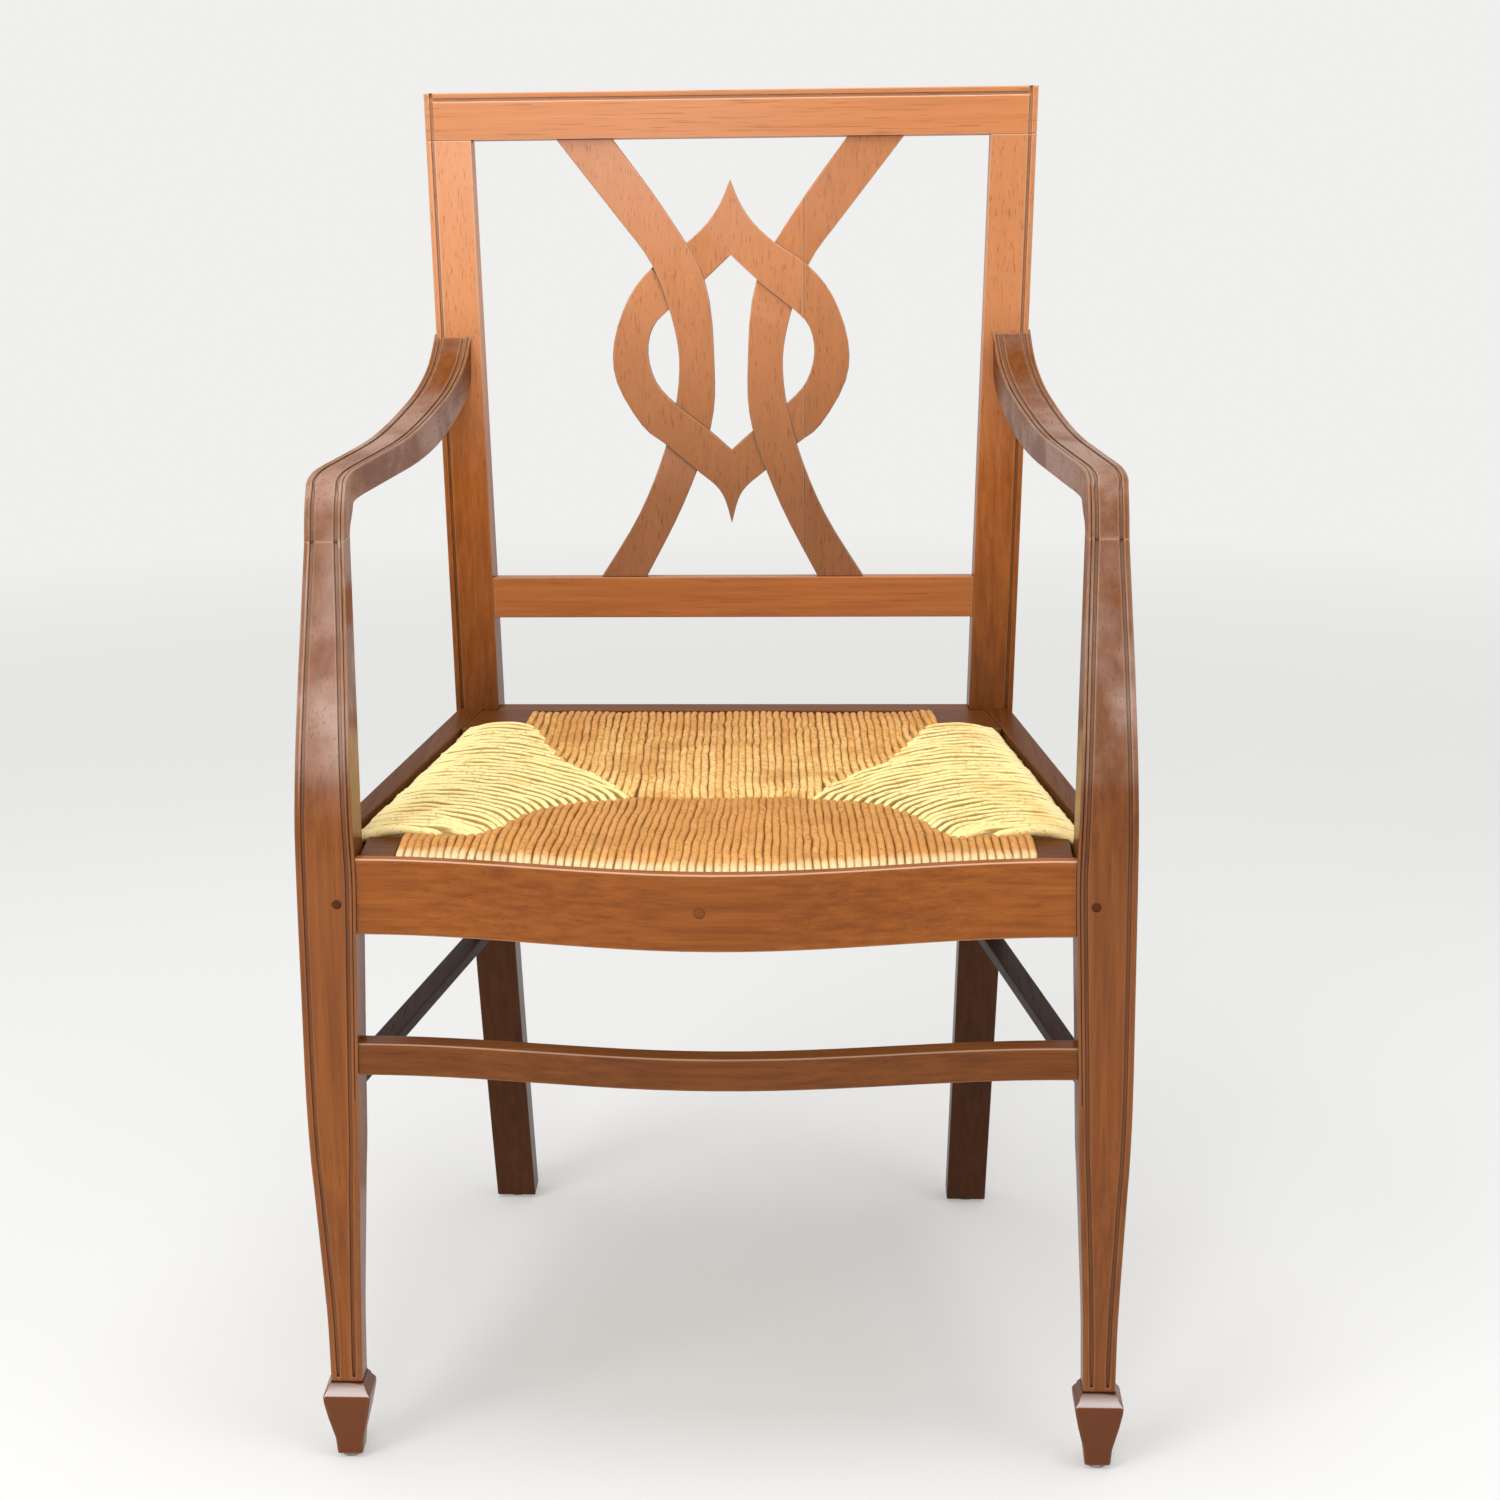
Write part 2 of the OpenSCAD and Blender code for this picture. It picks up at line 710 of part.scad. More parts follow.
// A strip seen from the front, w wide, at x from the line
module leg_strip(line, x, w) front_view(concat(moved(line, x), flip(moved(line, x + w))));

module leg_grooves() {
    intersection() {
        side_view(concat(beside(leg_front_line, groove_d), flip(beside(leg_front_line, -2))));
        union() {
            leg_strip(leg_out_line, -bead_w - groove_w, groove_w);
            leg_strip(leg_in_line, inner_groove_x, groove_w);
        }
    }
    intersection() {
        side_view(concat(beside(leg_front_line, line_w), flip(beside(leg_front_line, -2))));
        leg_strip(leg_in_line, small_bead_w, line_w);
        block([0, -big, taper_z], [big, big, big + seat_h]);
    }
}

module front_leg() {
    difference() {
        leg_blank();
        leg_grooves();
        front_rail_tenon(fit);
        side_rail_tenon_front(fit);
        front_str_tenon(fit);
        side_str_tenon_front(fit);
        arm_dowel(fit);
        peg_bore(fit);
        front_glide_pin(fit);
    }
}

// Seat rails

bow_steps = 24;
function bow(x, half, depth) = depth * (0.5 + 0.5 * cos(180 * min(abs(x) / half, 1)));
function rail_face(x) = y_leg + rail_set - bow(x, leg_in, rail_bow);
function bow_line(half, offset) = [
    for (i = [-bow_steps / 2:bow_steps / 2])
        let (x = half * i / (bow_steps / 2)) [x, rail_face(x) + offset]
];

rail_tenon_y = y_leg + rail_set + 8;
module front_rail_tenon(grow = 0) {
    block([leg_in - 2, rail_tenon_y, rail_z + 7], [leg_in + 22, rail_tenon_y + tenon_t, ledge_z - 1], grow);
}

module front_seat_rail() {
    reach = leg_in + 2;
    difference() {
        plan(concat(bow_line(reach, 0), flip(bow_line(reach, front_rail_t))), rail_z, seat_h);
        plan(concat(bow_line(reach, front_lip), flip(bow_line(reach, front_rail_t + 1))),
            ledge_z, seat_h + 1);
        both() leg_blank();
        rail_plug(fit);
        both() front_block_screw(fit);
    }
    both() difference() {
        front_rail_tenon();
        peg_bore(fit);
    }
}

module rail_plug(grow = 0) {
    x = -8;
    along_y(x, rail_face(x) - 1, rail_z + rail_h / 2) cylinder(r = peg_r + 0.5 + grow, h = 9 + grow);
}

module front_rail_plug() {
    intersection() {
        rail_plug();
        plan(concat(bow_line(leg_in, 0), flip(bow_line(leg_in, front_rail_t))), rail_z, seat_h);
    }
}

peg_z = ledge_z - peg_r - 2;
module peg_bore(grow = 0) {
    along_y(leg_in + 13, y_leg - 4, peg_z) cylinder(r = peg_r + grow, h = 30 + grow);
}

module joint_peg() {
    intersection() {
        peg_bore();
        leg_blank();
    }
}

function side_t(y) = (y - y_back) / (y_post - y_back);
function side_out(y) = lerp(side_out_front, side_out_rear, side_t(y));
function side_lip(y) = side_out(y) - lerp(side_lip_front, side_lip_rear, side_t(y));
function side_in(y) = side_out(y) - side_rail_t;
function side_strip(y0, y1, off, w) = [
    [side_out(y0) - off, y0], [side_out(y1) - off, y1],
    [side_out(y1) - off - w, y1], [side_out(y0) - off - w, y0]
];

module side_tenon(y0, y1, grow) {
    plan(side_strip(y0 - grow, y1 + grow, 6 - grow, tenon_t + 2 * grow),
        rail_z + 8 - grow, ledge_z - 1 + grow);
}
module side_rail_tenon_front(grow = 0) side_tenon(y_back - 16, y_back + 2, grow);
module side_rail_tenon_rear(grow = 0) side_tenon(y_post - 2, y_post + 18, grow);

module side_seat_rail() {
    y1 = y_post + 8;
    difference() {
        plan([[side_out(y_back), y_back], [side_out(y1), y1], [side_in(y1), y1], [side_in(y_back), y_back]],
            rail_z, seat_h);
        plan([[side_lip(y_back), y_back - 1], [side_lip(y1), y1], [side_in(y1) - 5, y1],
            [side_in(y_back) - 5, y_back - 1]], ledge_z, seat_h + 1);
        post_blank();
        rear_rail_zone();
        front_block_screw_side(fit);
        rear_block_screw_side(fit);
    }
    side_rail_tenon_front();
    side_rail_tenon_rear();
}

y_rear0 = y_post - rear_rail_fore;
y_rear1 = y_rear0 + rear_rail_t;

module rear_rail_zone() block([-big, y_rear0, 0], [post_gap_seat + 0.01, y_rear1, seat_h + 2]);

module rear_rail_tenon(grow = 0) {
    y = y_post + 4;
    block([post_gap_seat - 4, y, rail_z + 8], [post_gap_seat + 13, y + tenon_t, seat_h - 8], grow);
}

module rear_seat_rail() {
    difference() {
        union() {
            block([-post_gap_seat - 2, y_rear0, rail_z], [post_gap_seat + 2, y_rear1, seat_h]);
            both() rear_rail_tenon();
        }
        block([-big, y_rear0 - 1, ledge_z], [big, y_rear0 + rear_ledge, seat_h + 1]);
        both() difference() {
            post_blank();
            rear_rail_tenon();
        }
        both() block([post_gap_seat, y_rear0 - 1, 0], [big, y_post, seat_h + 2]);
        both() rear_block_screw(fit);
    }
}

// Stretchers

function str_face(x) = y_leg + rail_set - bow(x, leg_in, front_str_bow);
function str_line(half, offset) = [
    for (i = [-bow_steps / 2:bow_steps / 2])
        let (x = half * i / (bow_steps / 2)) [x, str_face(x) + offset]
];

module front_str_tenon(grow = 0) {
    y = y_leg + rail_set + (front_str_t - tenon_t) / 2;
    z = front_str_z - front_str_h + 4;
    block([leg_in - 2, y, z], [leg_in + 18, y + tenon_t, front_str_z - 4], grow);
}

module front_stretcher() {
    reach = leg_in + 3;
    z0 = front_str_z - front_str_h;
    difference() {
        plan(concat(str_line(reach, 0), flip(str_line(reach, front_str_t))), z0, front_str_z);
        both() leg_blank();
    }
    both() front_str_tenon();
}

y_str_rear = post_face(side_str_z);
str_x_rear = post_in(side_str_z) + post_w(side_str_z) / 2 - 5;
function str_x(y) = lerp(leg_mid, str_x_rear, (y - y_back) / (y_str_rear - y_back));
function str_strip(y0, y1, half) = [
    [str_x(y0) + half, y0], [str_x(y1) + half, y1], [str_x(y1) - half, y1], [str_x(y0) - half, y0]
];

side_str_tenon_t = 5;
module side_str_tenon(y0, y1, grow) {
    z1 = side_str_z - (side_str_h - side_str_tenon_t) / 2;
    plan(str_strip(y0 - grow, y1 + grow, 5 + grow), z1 - side_str_tenon_t - grow, z1 + grow);
}
module side_str_tenon_front(grow = 0) side_str_tenon(y_back - 15, y_back + 3, grow);
module side_str_tenon_rear(grow = 0) side_str_tenon(y_str_rear - 3, y_str_rear + 15, grow);

module side_stretcher() {
    difference() {
        plan(str_strip(y_back - 4, y_str_rear + 12, side_str_w / 2), side_str_z - side_str_h, side_str_z);
        leg_blank();
        post_blank();
    }
    side_str_tenon_front();
    side_str_tenon_rear();
}

// Corner blocks glued and screwed under the ledges

block_h = 24;
block_leg = 46;
front_in_y = y_leg + rail_set + front_rail_t;

module corner_block_front() {
    x0 = side_in(y_back);
    difference() {
        plan([[x0, y_back], [side_in(y_back + block_leg), y_back + block_leg],
            [x0 - block_leg, front_in_y - 4], [x0 - 0.5, front_in_y - 4]], ledge_z - block_h, ledge_z);
        leg_blank();
        plan(concat(bow_line(leg_in + 2, -1), flip(bow_line(leg_in + 2, front_rail_t))),
            rail_z - 1, seat_h);
        front_block_screw(fit);
        front_block_screw_side(fit);
    }
}

module corner_block_rear() {
    y1 = y_rear0;
    difference() {
        plan([[side_in(y1), y1], [side_in(y1 - block_leg), y1 - block_leg],
            [side_in(y1) - block_leg, y1]], ledge_z - block_h, ledge_z);
        rear_block_screw(fit);
        rear_block_screw_side(fit);
    }
}

block_screw_z = ledge_z - block_h / 2;
block_screw_l = 30;
module slanted_screw(at, turn, grow) {
    translate([at.x, at.y, block_screw_z]) rotate([0, 0, turn]) rotate([0, 90, 0]) {
        translate([0, 0, -grow]) cylinder(r = screw_r + grow, h = block_screw_l + 2 * grow);
        translate([0, 0, -1 - grow]) cylinder(r = 2 * screw_r + grow, h = 2.4 + 2 * grow);
    }
}

module front_block_screw(grow = 0)
    slanted_screw([side_in(y_back) - block_leg + 22, front_in_y + 18], -90, grow);
module front_block_screw_side(grow = 0)
    slanted_screw([side_in(y_back + block_leg - 16) - 16, y_back + block_leg - 18], 0, grow);
module rear_block_screw(grow = 0)
    slanted_screw([side_in(y_rear0) - block_leg + 20, y_rear0 - 16], 90, grow);
module rear_block_screw_side(grow = 0)
    slanted_screw([side_in(y_rear0 - block_leg + 18) - 16, y_rear0 - block_leg + 20], 0, grow);

module corner_block_screws() {
    both() {
        front_block_screw();
        front_block_screw_side();
        rear_block_screw();
        rear_block_screw_side();
    }
}

// Glides

glide_pin_r = 1.5;
y_rear = post_face(glide_h) + post_d_floor / 2;
x_rear_foot = post_in(glide_h) + post_w_floor / 2;

module glide(x, y, r) {
    translate([x, y, 0]) {
        cylinder(r1 = r - 1, r2 = r, h = 1);
        translate([0, 0, 1]) cylinder(r = r, h = glide_h - 1);
        cylinder(r = glide_pin_r, h = 12);
    }
}

module glide_hole(x, y, grow) translate([x, y, -1]) cylinder(r = glide_pin_r + grow, h = 13 + grow);
module front_glide_pin(grow) glide_hole(foot_mid, y_foot, grow);
module rear_glide_pin(grow) glide_hole(x_rear_foot, y_rear, grow);

// Lift-out seat: a frame of four rails with thick bare corners, wound with rush

seat_z0 = ledge_z;
seat_z1 = seat_h;
frame_z0 = (seat_z0 + seat_z1) / 2 - frame_t / 2;
frame_z1 = frame_z0 + frame_t;
tongue = leg_in - seat_gap - 0.5;
y_wing = y_leg + rail_set + front_lip + seat_gap + corner_front_y;
y_rear_edge = y_rear0 + rear_ledge - seat_gap;
wing_rear = y_rear_edge - corner_rear_y;
function seat_side(y) = side_lip(y) - seat_gap;
function seat_front(x) = rail_face(x) + front_lip + seat_gap;
front_half = tongue - corner_front_x;
rear_half_rush = seat_side(y_rear_edge) - corner_rear_x;

function front_edge(half, offset) = [
    for (i = [-bow_steps / 2:bow_steps / 2])
        let (x = half * i / (bow_steps / 2)) [x, seat_front(x) + offset]
];

module seat_frame_front() {
    waist_end = [[front_half, y_wing + 1], [-front_half, y_wing + 1]];
    difference() {
        plan(concat(front_edge(tongue, 0), [[tongue, y_wing], [-tongue, y_wing]]), seat_z0, seat_z1);
        // The waist that the rush goes round
        plan(concat(front_edge(front_half, -1), waist_end), frame_z1, seat_z1 + 1);
        plan(concat(front_edge(front_half, -1), waist_end), seat_z0 - 1, frame_z0);
        plan(concat(front_edge(front_half, -1), flip(front_edge(front_half, rush_t))),
            seat_z0 - 1, seat_z1 + 1);
        plan(concat(front_edge(front_half, rush_t + frame_w), waist_end), seat_z0 - 1, seat_z1 + 1);
        both() seat_side_tenon_front(fit);
    }
}

module seat_frame_back() {
    x1 = seat_side(y_rear_edge);
    y0 = wing_rear;
    difference() {
        plan([[-seat_side(y0), y0], [seat_side(y0), y0], [x1, y_rear_edge], [-x1, y_rear_edge]],
            seat_z0, seat_z1);
        block([-rear_half_rush, y0 - 1, frame_z1], [rear_half_rush, big, seat_z1 + 1]);
        block([-rear_half_rush, y0 - 1, 0], [rear_half_rush, big, frame_z0]);
        block([-rear_half_rush, y_rear_edge - rush_t, 0], [rear_half_rush, big, big]);
        block([-rear_half_rush, y0 - 1, 0], [rear_half_rush, y_rear_edge - rush_t - frame_w, big]);
        both() seat_side_tenon_rear(fit);
    }
}

function frame_strip(y0, y1, off, w) = [
    [seat_side(y0) - off, y0], [seat_side(y1) - off, y1],
    [seat_side(y1) - off - w, y1], [seat_side(y0) - off - w, y0]
];
module seat_side_tenon_front(grow = 0)
    block([tongue - 19, y_wing - 18, frame_z0 + 3], [tongue - 5, y_wing + 2, frame_z1 - 3], grow);
module seat_side_tenon_rear(grow = 0)
    plan(frame_strip(wing_rear - 2, wing_rear + 20 + grow, rush_t + 6 - grow, frame_w - 12 + 2 * grow),
        frame_z0 + 3 - grow, frame_z1 - 3 + grow);

module seat_frame_side() {
    plan([[seat_side(y_wing) - rush_t, y_wing], [seat_side(wing_rear) - rush_t, wing_rear],
        [seat_side(wing_rear) - rush_t - frame_w, wing_rear],
        [tongue - corner_front_x + 2, y_wing]], frame_z0, frame_z1);
    seat_side_tenon_front();
    seat_side_tenon_rear();
}

// Rush panels. The mitre lines run from the seat's corners to the line where the panels meet.
y_meet = y_leg + meet_run;
front_mitre = smooth([[front_half, y_wing], [front_half * 0.74, y_wing],
    [front_half * 0.62, lerp(y_wing, y_meet, 0.55)], [meet_x + 42, lerp(y_wing, y_meet, 0.84)],
    [meet_x, y_meet]], 3);
rear_mitre = smooth([[rear_half_rush, wing_rear],
    [lerp(rear_half_rush, meet_x, 0.39), lerp(wing_rear, y_meet, 0.54)],
    [lerp(rear_half_rush, meet_x, 0.71), lerp(wing_rear, y_meet, 0.76)], [meet_x, y_meet]], 3);
rush_z0 = ledge_z + 1;
rush_top = seat_h + rush_proud;

// Height of a crowned section at t, 0 at the frame and 1 at the middle of the seat
function crown(t) = rush_crown * sin(150 * pow(t, 0.75));
crown_steps = 10;
function crown_line(a, b) = [
    for (i = [0:crown_steps]) [lerp(a, b, i / crown_steps), rush_top + crown(i / crown_steps)]
];

module seat_frame() {
    seat_frame_front();
    seat_frame_back();
    both() seat_frame_side();
}

module rush_front() {
    y0 = seat_front(0);
    difference() {
        intersection() {
            plan(concat(front_edge(front_half, 0), front_mitre, flip(mirrored(front_mitre))),
                rush_z0, rush_top + 20);
            side_view(concat([[y0, rush_z0], [y_meet, rush_z0]], flip(crown_line(y0, y_meet))), -big, big);
        }
        seat_frame();
    }
}

module rush_back() {
    y1 = y_rear_edge;
    difference() {
        intersection() {
            plan(concat([[-rear_half_rush, y1], [rear_half_rush, y1]], rear_mitre,
                flip(mirrored(rear_mitre))), rush_z0, rush_top + 20);
            side_view(concat([[y1, rush_z0], [y_meet, rush_z0]], flip(crown_line(y1, y_meet))), -big, big);
        }
        seat_frame();
    }
}

module rush_side() {
    x1 = seat_side(y_wing);
    difference() {
        intersection() {
            plan(concat([[seat_side(y_wing), y_wing], [seat_side(wing_rear), wing_rear]], rear_mitre,
                flip(front_mitre)), rush_z0, rush_top + 20);
            front_view(concat([[x1, rush_z0], [meet_x, rush_z0]], flip(crown_line(x1, meet_x))));
        }
        seat_frame();
    }
}

color(wood) mirror([1, 0, 0]) rear_post();  // rear_post_left
color(wood) rear_post();  // rear_post_right
color(wood) crest_rail();
color(wood) lower_back_rail();
color(wood) splat_main_board();
color(wood) splat_edge_board();
color(wood) mirror([1, 0, 0]) arm();  // arm_left
color(wood) arm();  // arm_right
color(wood) mirror([1, 0, 0]) front_leg();  // front_leg_left
color(wood) front_leg();  // front_leg_right
color(wood) front_seat_rail();
color(wood) rear_seat_rail();
color(wood) mirror([1, 0, 0]) side_seat_rail();  // side_seat_rail_left
color(wood) side_seat_rail();  // side_seat_rail_right
color(wood) front_stretcher();
color(wood) mirror([1, 0, 0]) side_stretcher();  // side_stretcher_left
color(wood) side_stretcher();  // side_stretcher_right
color(dark) mirror([1, 0, 0]) corner_block_front();  // corner_block_front_left
color(dark) corner_block_front();  // corner_block_front_right
color(dark) mirror([1, 0, 0]) corner_block_rear();  // corner_block_rear_left
color(dark) corner_block_rear();  // corner_block_rear_right
color(steel) corner_block_screws();
color(dark) both() joint_peg();  // front_joint_pegs
color(dark) front_rail_plug();
color(dark) both() arm_dowel();  // arm_dowels
color(steel) both() arm_screw();  // arm_screws
color(dark) both() arm_screw_plug();  // arm_screw_plugs
color(steel) both() glide(foot_mid, y_foot, glide_r_front);  // front_glides
color(steel) both() glide(x_rear_foot, y_rear, glide_r_rear);  // rear_glides
color(dark) seat_frame_front();
color(dark) seat_frame_back();
color(dark) mirror([1, 0, 0]) seat_frame_side();  // seat_frame_left
color(dark) seat_frame_side();  // seat_frame_right
color(reed) rush_front();
color(reed) rush_back();
color(reed) mirror([1, 0, 0]) rush_side();  // rush_left
color(reed) rush_side();  // rush_right
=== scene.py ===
import json
import math
import random

import bmesh
import bpy
import numpy as np
from mathutils import Matrix, Vector


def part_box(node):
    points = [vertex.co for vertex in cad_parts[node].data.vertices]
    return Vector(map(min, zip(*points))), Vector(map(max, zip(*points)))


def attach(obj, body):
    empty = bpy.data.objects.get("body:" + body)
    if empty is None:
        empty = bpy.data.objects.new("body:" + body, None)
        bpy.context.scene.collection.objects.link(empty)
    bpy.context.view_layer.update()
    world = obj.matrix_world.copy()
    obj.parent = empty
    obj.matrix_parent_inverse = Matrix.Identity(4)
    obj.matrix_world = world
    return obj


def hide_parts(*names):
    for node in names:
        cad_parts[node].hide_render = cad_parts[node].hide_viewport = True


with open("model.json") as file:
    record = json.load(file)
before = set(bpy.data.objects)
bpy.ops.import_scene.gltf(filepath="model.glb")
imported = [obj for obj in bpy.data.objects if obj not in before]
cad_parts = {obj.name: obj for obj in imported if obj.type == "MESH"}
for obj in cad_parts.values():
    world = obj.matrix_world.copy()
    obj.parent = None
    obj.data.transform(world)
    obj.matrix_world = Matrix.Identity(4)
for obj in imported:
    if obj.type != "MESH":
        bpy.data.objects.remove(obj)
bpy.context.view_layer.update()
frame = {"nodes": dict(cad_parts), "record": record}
nodes = frame["nodes"]
bodyOf = {n: body for body, names in frame["record"]["behaviour"]["bodies"].items() for n in names}
print("frame loaded,", len(nodes), "nodes")

# Camera

photoView = {
    "place": (0.0786, -2.1088, 1.0257),
    "turn": 3.772,  # degrees to the left of straight ahead
    "down": 12.391,
    "roll": -0.946,
    "lens": 71.9,
    "shiftX": 0.0734,
    "shiftY": -0.0962,
}


def placeCamera(view):
    data = bpy.data.cameras.new("photoCamera")
    data.sensor_width = 36
    data.lens = view["lens"]
    data.shift_x = view["shiftX"]
    data.shift_y = view["shiftY"]
    camera = bpy.data.objects.new("photoCamera", data)
    camera.matrix_world = (
        Matrix.Translation(view["place"])
        @ Matrix.Rotation(math.radians(view["turn"]), 4, "Z")
        @ Matrix.Rotation(math.radians(90 - view["down"]), 4, "X")
        @ Matrix.Rotation(math.radians(view["roll"]), 4, "Z")
    )
    bpy.context.scene.collection.objects.link(camera)
    bpy.context.scene.camera = camera


placeCamera(photoView)
print("camera placed")

# Node helpers, for shaders and for geometry


class Socket:
    # An output socket that adds Math nodes when it is used in a sum
    def __init__(self, maker, out):
        self.maker = maker
        self.out = out

    def maths(self, operation, first, second):
        return self.maker.node("ShaderNodeMath", {"operation": operation}, {0: first, 1: second})

    def __add__(self, other):
        return self.maths("ADD", self, other)

    def __radd__(self, other):
        return self.maths("ADD", other, self)

    def __sub__(self, other):
        return self.maths("SUBTRACT", self, other)

    def __rsub__(self, other):
        return self.maths("SUBTRACT", other, self)

    def __mul__(self, other):
        return self.maths("MULTIPLY", self, other)

    def __rmul__(self, other):
        return self.maths("MULTIPLY", other, self)


class NodeMaker:
    def __init__(self, tree):
        self.tree = tree

    def node(self, kind, settings=None, sockets=None, out=0):
        made = self.tree.nodes.new(kind)
        for key, value in (settings or {}).items():
            if key == "stops":
                self.setStops(made.color_ramp, value)
            else:
                setattr(made, key, value)
        for key, value in (sockets or {}).items():
            self.feed(made.inputs[key], value)
        return Socket(self, made.outputs[out])

    def feed(self, target, value):
        if isinstance(value, Socket):
            self.tree.links.new(value.out, target)
        else:
            target.default_value = value

    def setStops(self, ramp, stops):
        while len(ramp.elements) < len(stops):
            ramp.elements.new(0.5)
        for element, (place, colour) in zip(ramp.elements, stops):
            element.position = place
            element.color = (*colour, 1)


class Finish(NodeMaker):
    # A material with its Principled shader
    def __init__(self, name):
        self.material = bpy.data.materials.new(name)
        self.material.use_nodes = True
        super().__init__(self.material.node_tree)
        self.shader = self.tree.nodes["Principled BSDF"]

    def set(self, **values):
        for key, value in values.items():
            self.feed(self.shader.inputs[key.replace("_", " ")], value)

    def blend(self, factor, first, second, kind="MIX"):
        first, second = [c if isinstance(c, Socket) else (*c, 1) for c in (first, second)]
        settings = {"data_type": "RGBA", "blend_type": kind}
        return self.node("ShaderNodeMix", settings, {0: factor, 6: first, 7: second}, out=2)

    def noise(self, place, scale, detail=3.0, roughness=0.55, distortion=0.0):
        sockets = {"Vector": place, "Scale": scale, "Detail": detail, "Roughness": roughness,
                   "Distortion": distortion}
        return self.node("ShaderNodeTexNoise", None, sockets)

    def spread(self, value, low, high):
        # From 0 at low to 1 at high
        return self.node("ShaderNodeMapRange", None, {0: value, 1: low, 2: high})

    def bump(self, height, strength, distance, normal=None):
        sockets = {"Strength": strength, "Distance": distance, "Height": height}
        if normal is not None:
            sockets["Normal"] = normal
        return self.node("ShaderNodeBump", None, sockets)


# Wood

woodLook = {
    "dark": (0.205, 0.049, 0.007),
    "middle": (0.350, 0.098, 0.014),
    "light": (0.462, 0.146, 0.026),
    "faded": (0.725, 0.293, 0.120),  # partly the sun's bleaching of the back, partly painted sunlight on it
    # The next two colours are for the edges, partly wear and partly a painted highlight; the second one
    # where the wood is pale
    "worn": (0.600, 0.240, 0.080),
    "fadedWorn": (0.950, 0.660, 0.460),
    # The next colour darkens the recesses, partly as dirt and partly as painted shade
    "grime": (0.030, 0.008, 0.004),
    "grainStretch": 0.07,
    "bandScale": 34.0,
    "streakScale": 260.0,
    "poreScale": 900.0,
    "blotchScale": 7.0,
    "edgeRadius": 0.0018,
    "creviceReach": 0.004,
}


def woodFinish(name, grain, seed, toneAndShade=1.0, bleachAndSheen=0.0, gloss=0.5, heights=None, topHighlight=False,
               look=woodLook, plug=None):
    wood = Finish(name)
    place = wood.node("ShaderNodeTexCoord", out="Object")
    draw = random.Random(seed)
    shift = [draw.uniform(-3, 3) for axis in range(3)]
    along = [look["grainStretch"] if axis == grain else 1.0 for axis in "XYZ"]
    fine = [0.028 if axis == grain else 1.0 for axis in "XYZ"]
    stretched = wood.node("ShaderNodeMapping", None, {"Vector": place, "Location": shift, "Scale": along})
    drawn = wood.node("ShaderNodeMapping", None, {"Vector": place, "Location": shift, "Scale": fine})
    bands = wood.noise(stretched, look["bandScale"], 5.0, 0.6, 0.7)
    streaks = wood.noise(drawn, look["streakScale"], 3.0)
    pores = wood.spread(wood.noise(drawn, look["poreScale"], 1.0), 0.60, 0.72)
    blotch = wood.noise(place, look["blotchScale"], 3.0)
    figure = bands * 0.28 + streaks * 0.50 + blotch * 0.22
    stops = [(0.27, look["dark"]), (0.5, look["middle"]), (0.73, look["light"])]
    colour = wood.node("ShaderNodeValToRGB", {"stops": stops}, {"Fac": figure})
    if heights:
        # By height: the top is paler, partly from the sun's bleaching and partly painted sunlight and sheen,
        # and further down the tone goes over to the lower share, which on the rear posts is painted shade
        # below the seat
        height = wood.node("ShaderNodeSeparateXYZ", None, {"Vector": place}, out="Z")
        upper = wood.spread(height, heights["fadeLow"], heights["fadeHigh"])
        lower = 1 - wood.spread(height, heights["low"], heights["high"])
        shade = 1 + lower * (heights["lowShare"] - 1)
        bleachAndSheen = upper * bleachAndSheen
        if "bareFrom" in heights:
            # Near the arm the support's pale rubbing, painted with sheen, is weaker again
            bleachAndSheen = bleachAndSheen * (1 - wood.spread(height, heights["bareFrom"], heights["bareTo"]) * 0.5)
        if "patches" in heights:
            bleachAndSheen = bleachAndSheen * (0.15 + wood.spread(wood.noise(place, heights["patches"], 3.0), 0.42, 0.58) * 0.85)
    colour = wood.blend(bleachAndSheen, colour, look["faded"])
    colour = wood.blend(pores * 0.45, colour, look["dark"])
    mottle = 0.86 + streaks * 0.14 + bands * 0.14
    grey = wood.node("ShaderNodeCombineColor", None, {0: mottle, 1: mottle, 2: mottle})
    colour = wood.blend(1.0, colour, grey, "MULTIPLY")
    if heights and "neck" in heights:
        foot = 1 - wood.spread(height, heights["neck"], heights["neck"] + 0.001)
        colour = wood.blend(foot * 0.9, colour, look["dark"])
    rounded = wood.node("ShaderNodeBevel", {"samples": 6}, {"Radius": look["edgeRadius"]})
    flat = wood.node("ShaderNodeNewGeometry", out="Normal")
    level = wood.node("ShaderNodeVectorMath", {"operation": "DOT_PRODUCT"}, {0: rounded, 1: flat},
                      out="Value")
    # Grime and painted shade in the recesses, found by local ambient occlusion
    inner = wood.node("ShaderNodeAmbientOcclusion", {"samples": 6, "only_local": True},
                      {"Distance": look["creviceReach"]}, out="AO")
    recessGrimeAndShade = 1 - wood.spread(inner, 0.25, 0.85)
    # The rounded edges take the worn colour, partly wear and partly a painted highlight
    edge = wood.spread(1 - level, 0.006, 0.09) * (1 - recessGrimeAndShade)
    if plug:
        # The rim of the hole round a plug gets neither edge wear nor a painted edge highlight
        away = wood.node("ShaderNodeVectorMath", {"operation": "DISTANCE"}, {0: place, 1: plug["centre"]},
                         out="Value")
        edge = edge * wood.spread(away, plug["radius"] * 1.4, plug["radius"] * 1.7)
    up = wood.node("ShaderNodeSeparateXYZ", None, {"Vector": flat}, out="Z")
    back = wood.node("ShaderNodeSeparateXYZ", None, {"Vector": flat}, out="Y")
    # The worn colour, which carries the painted highlight, is darkened less than the piece
    worn = [c * toneAndShade ** -0.4 for c in look["worn"]]
    if heights and "neck" in heights:
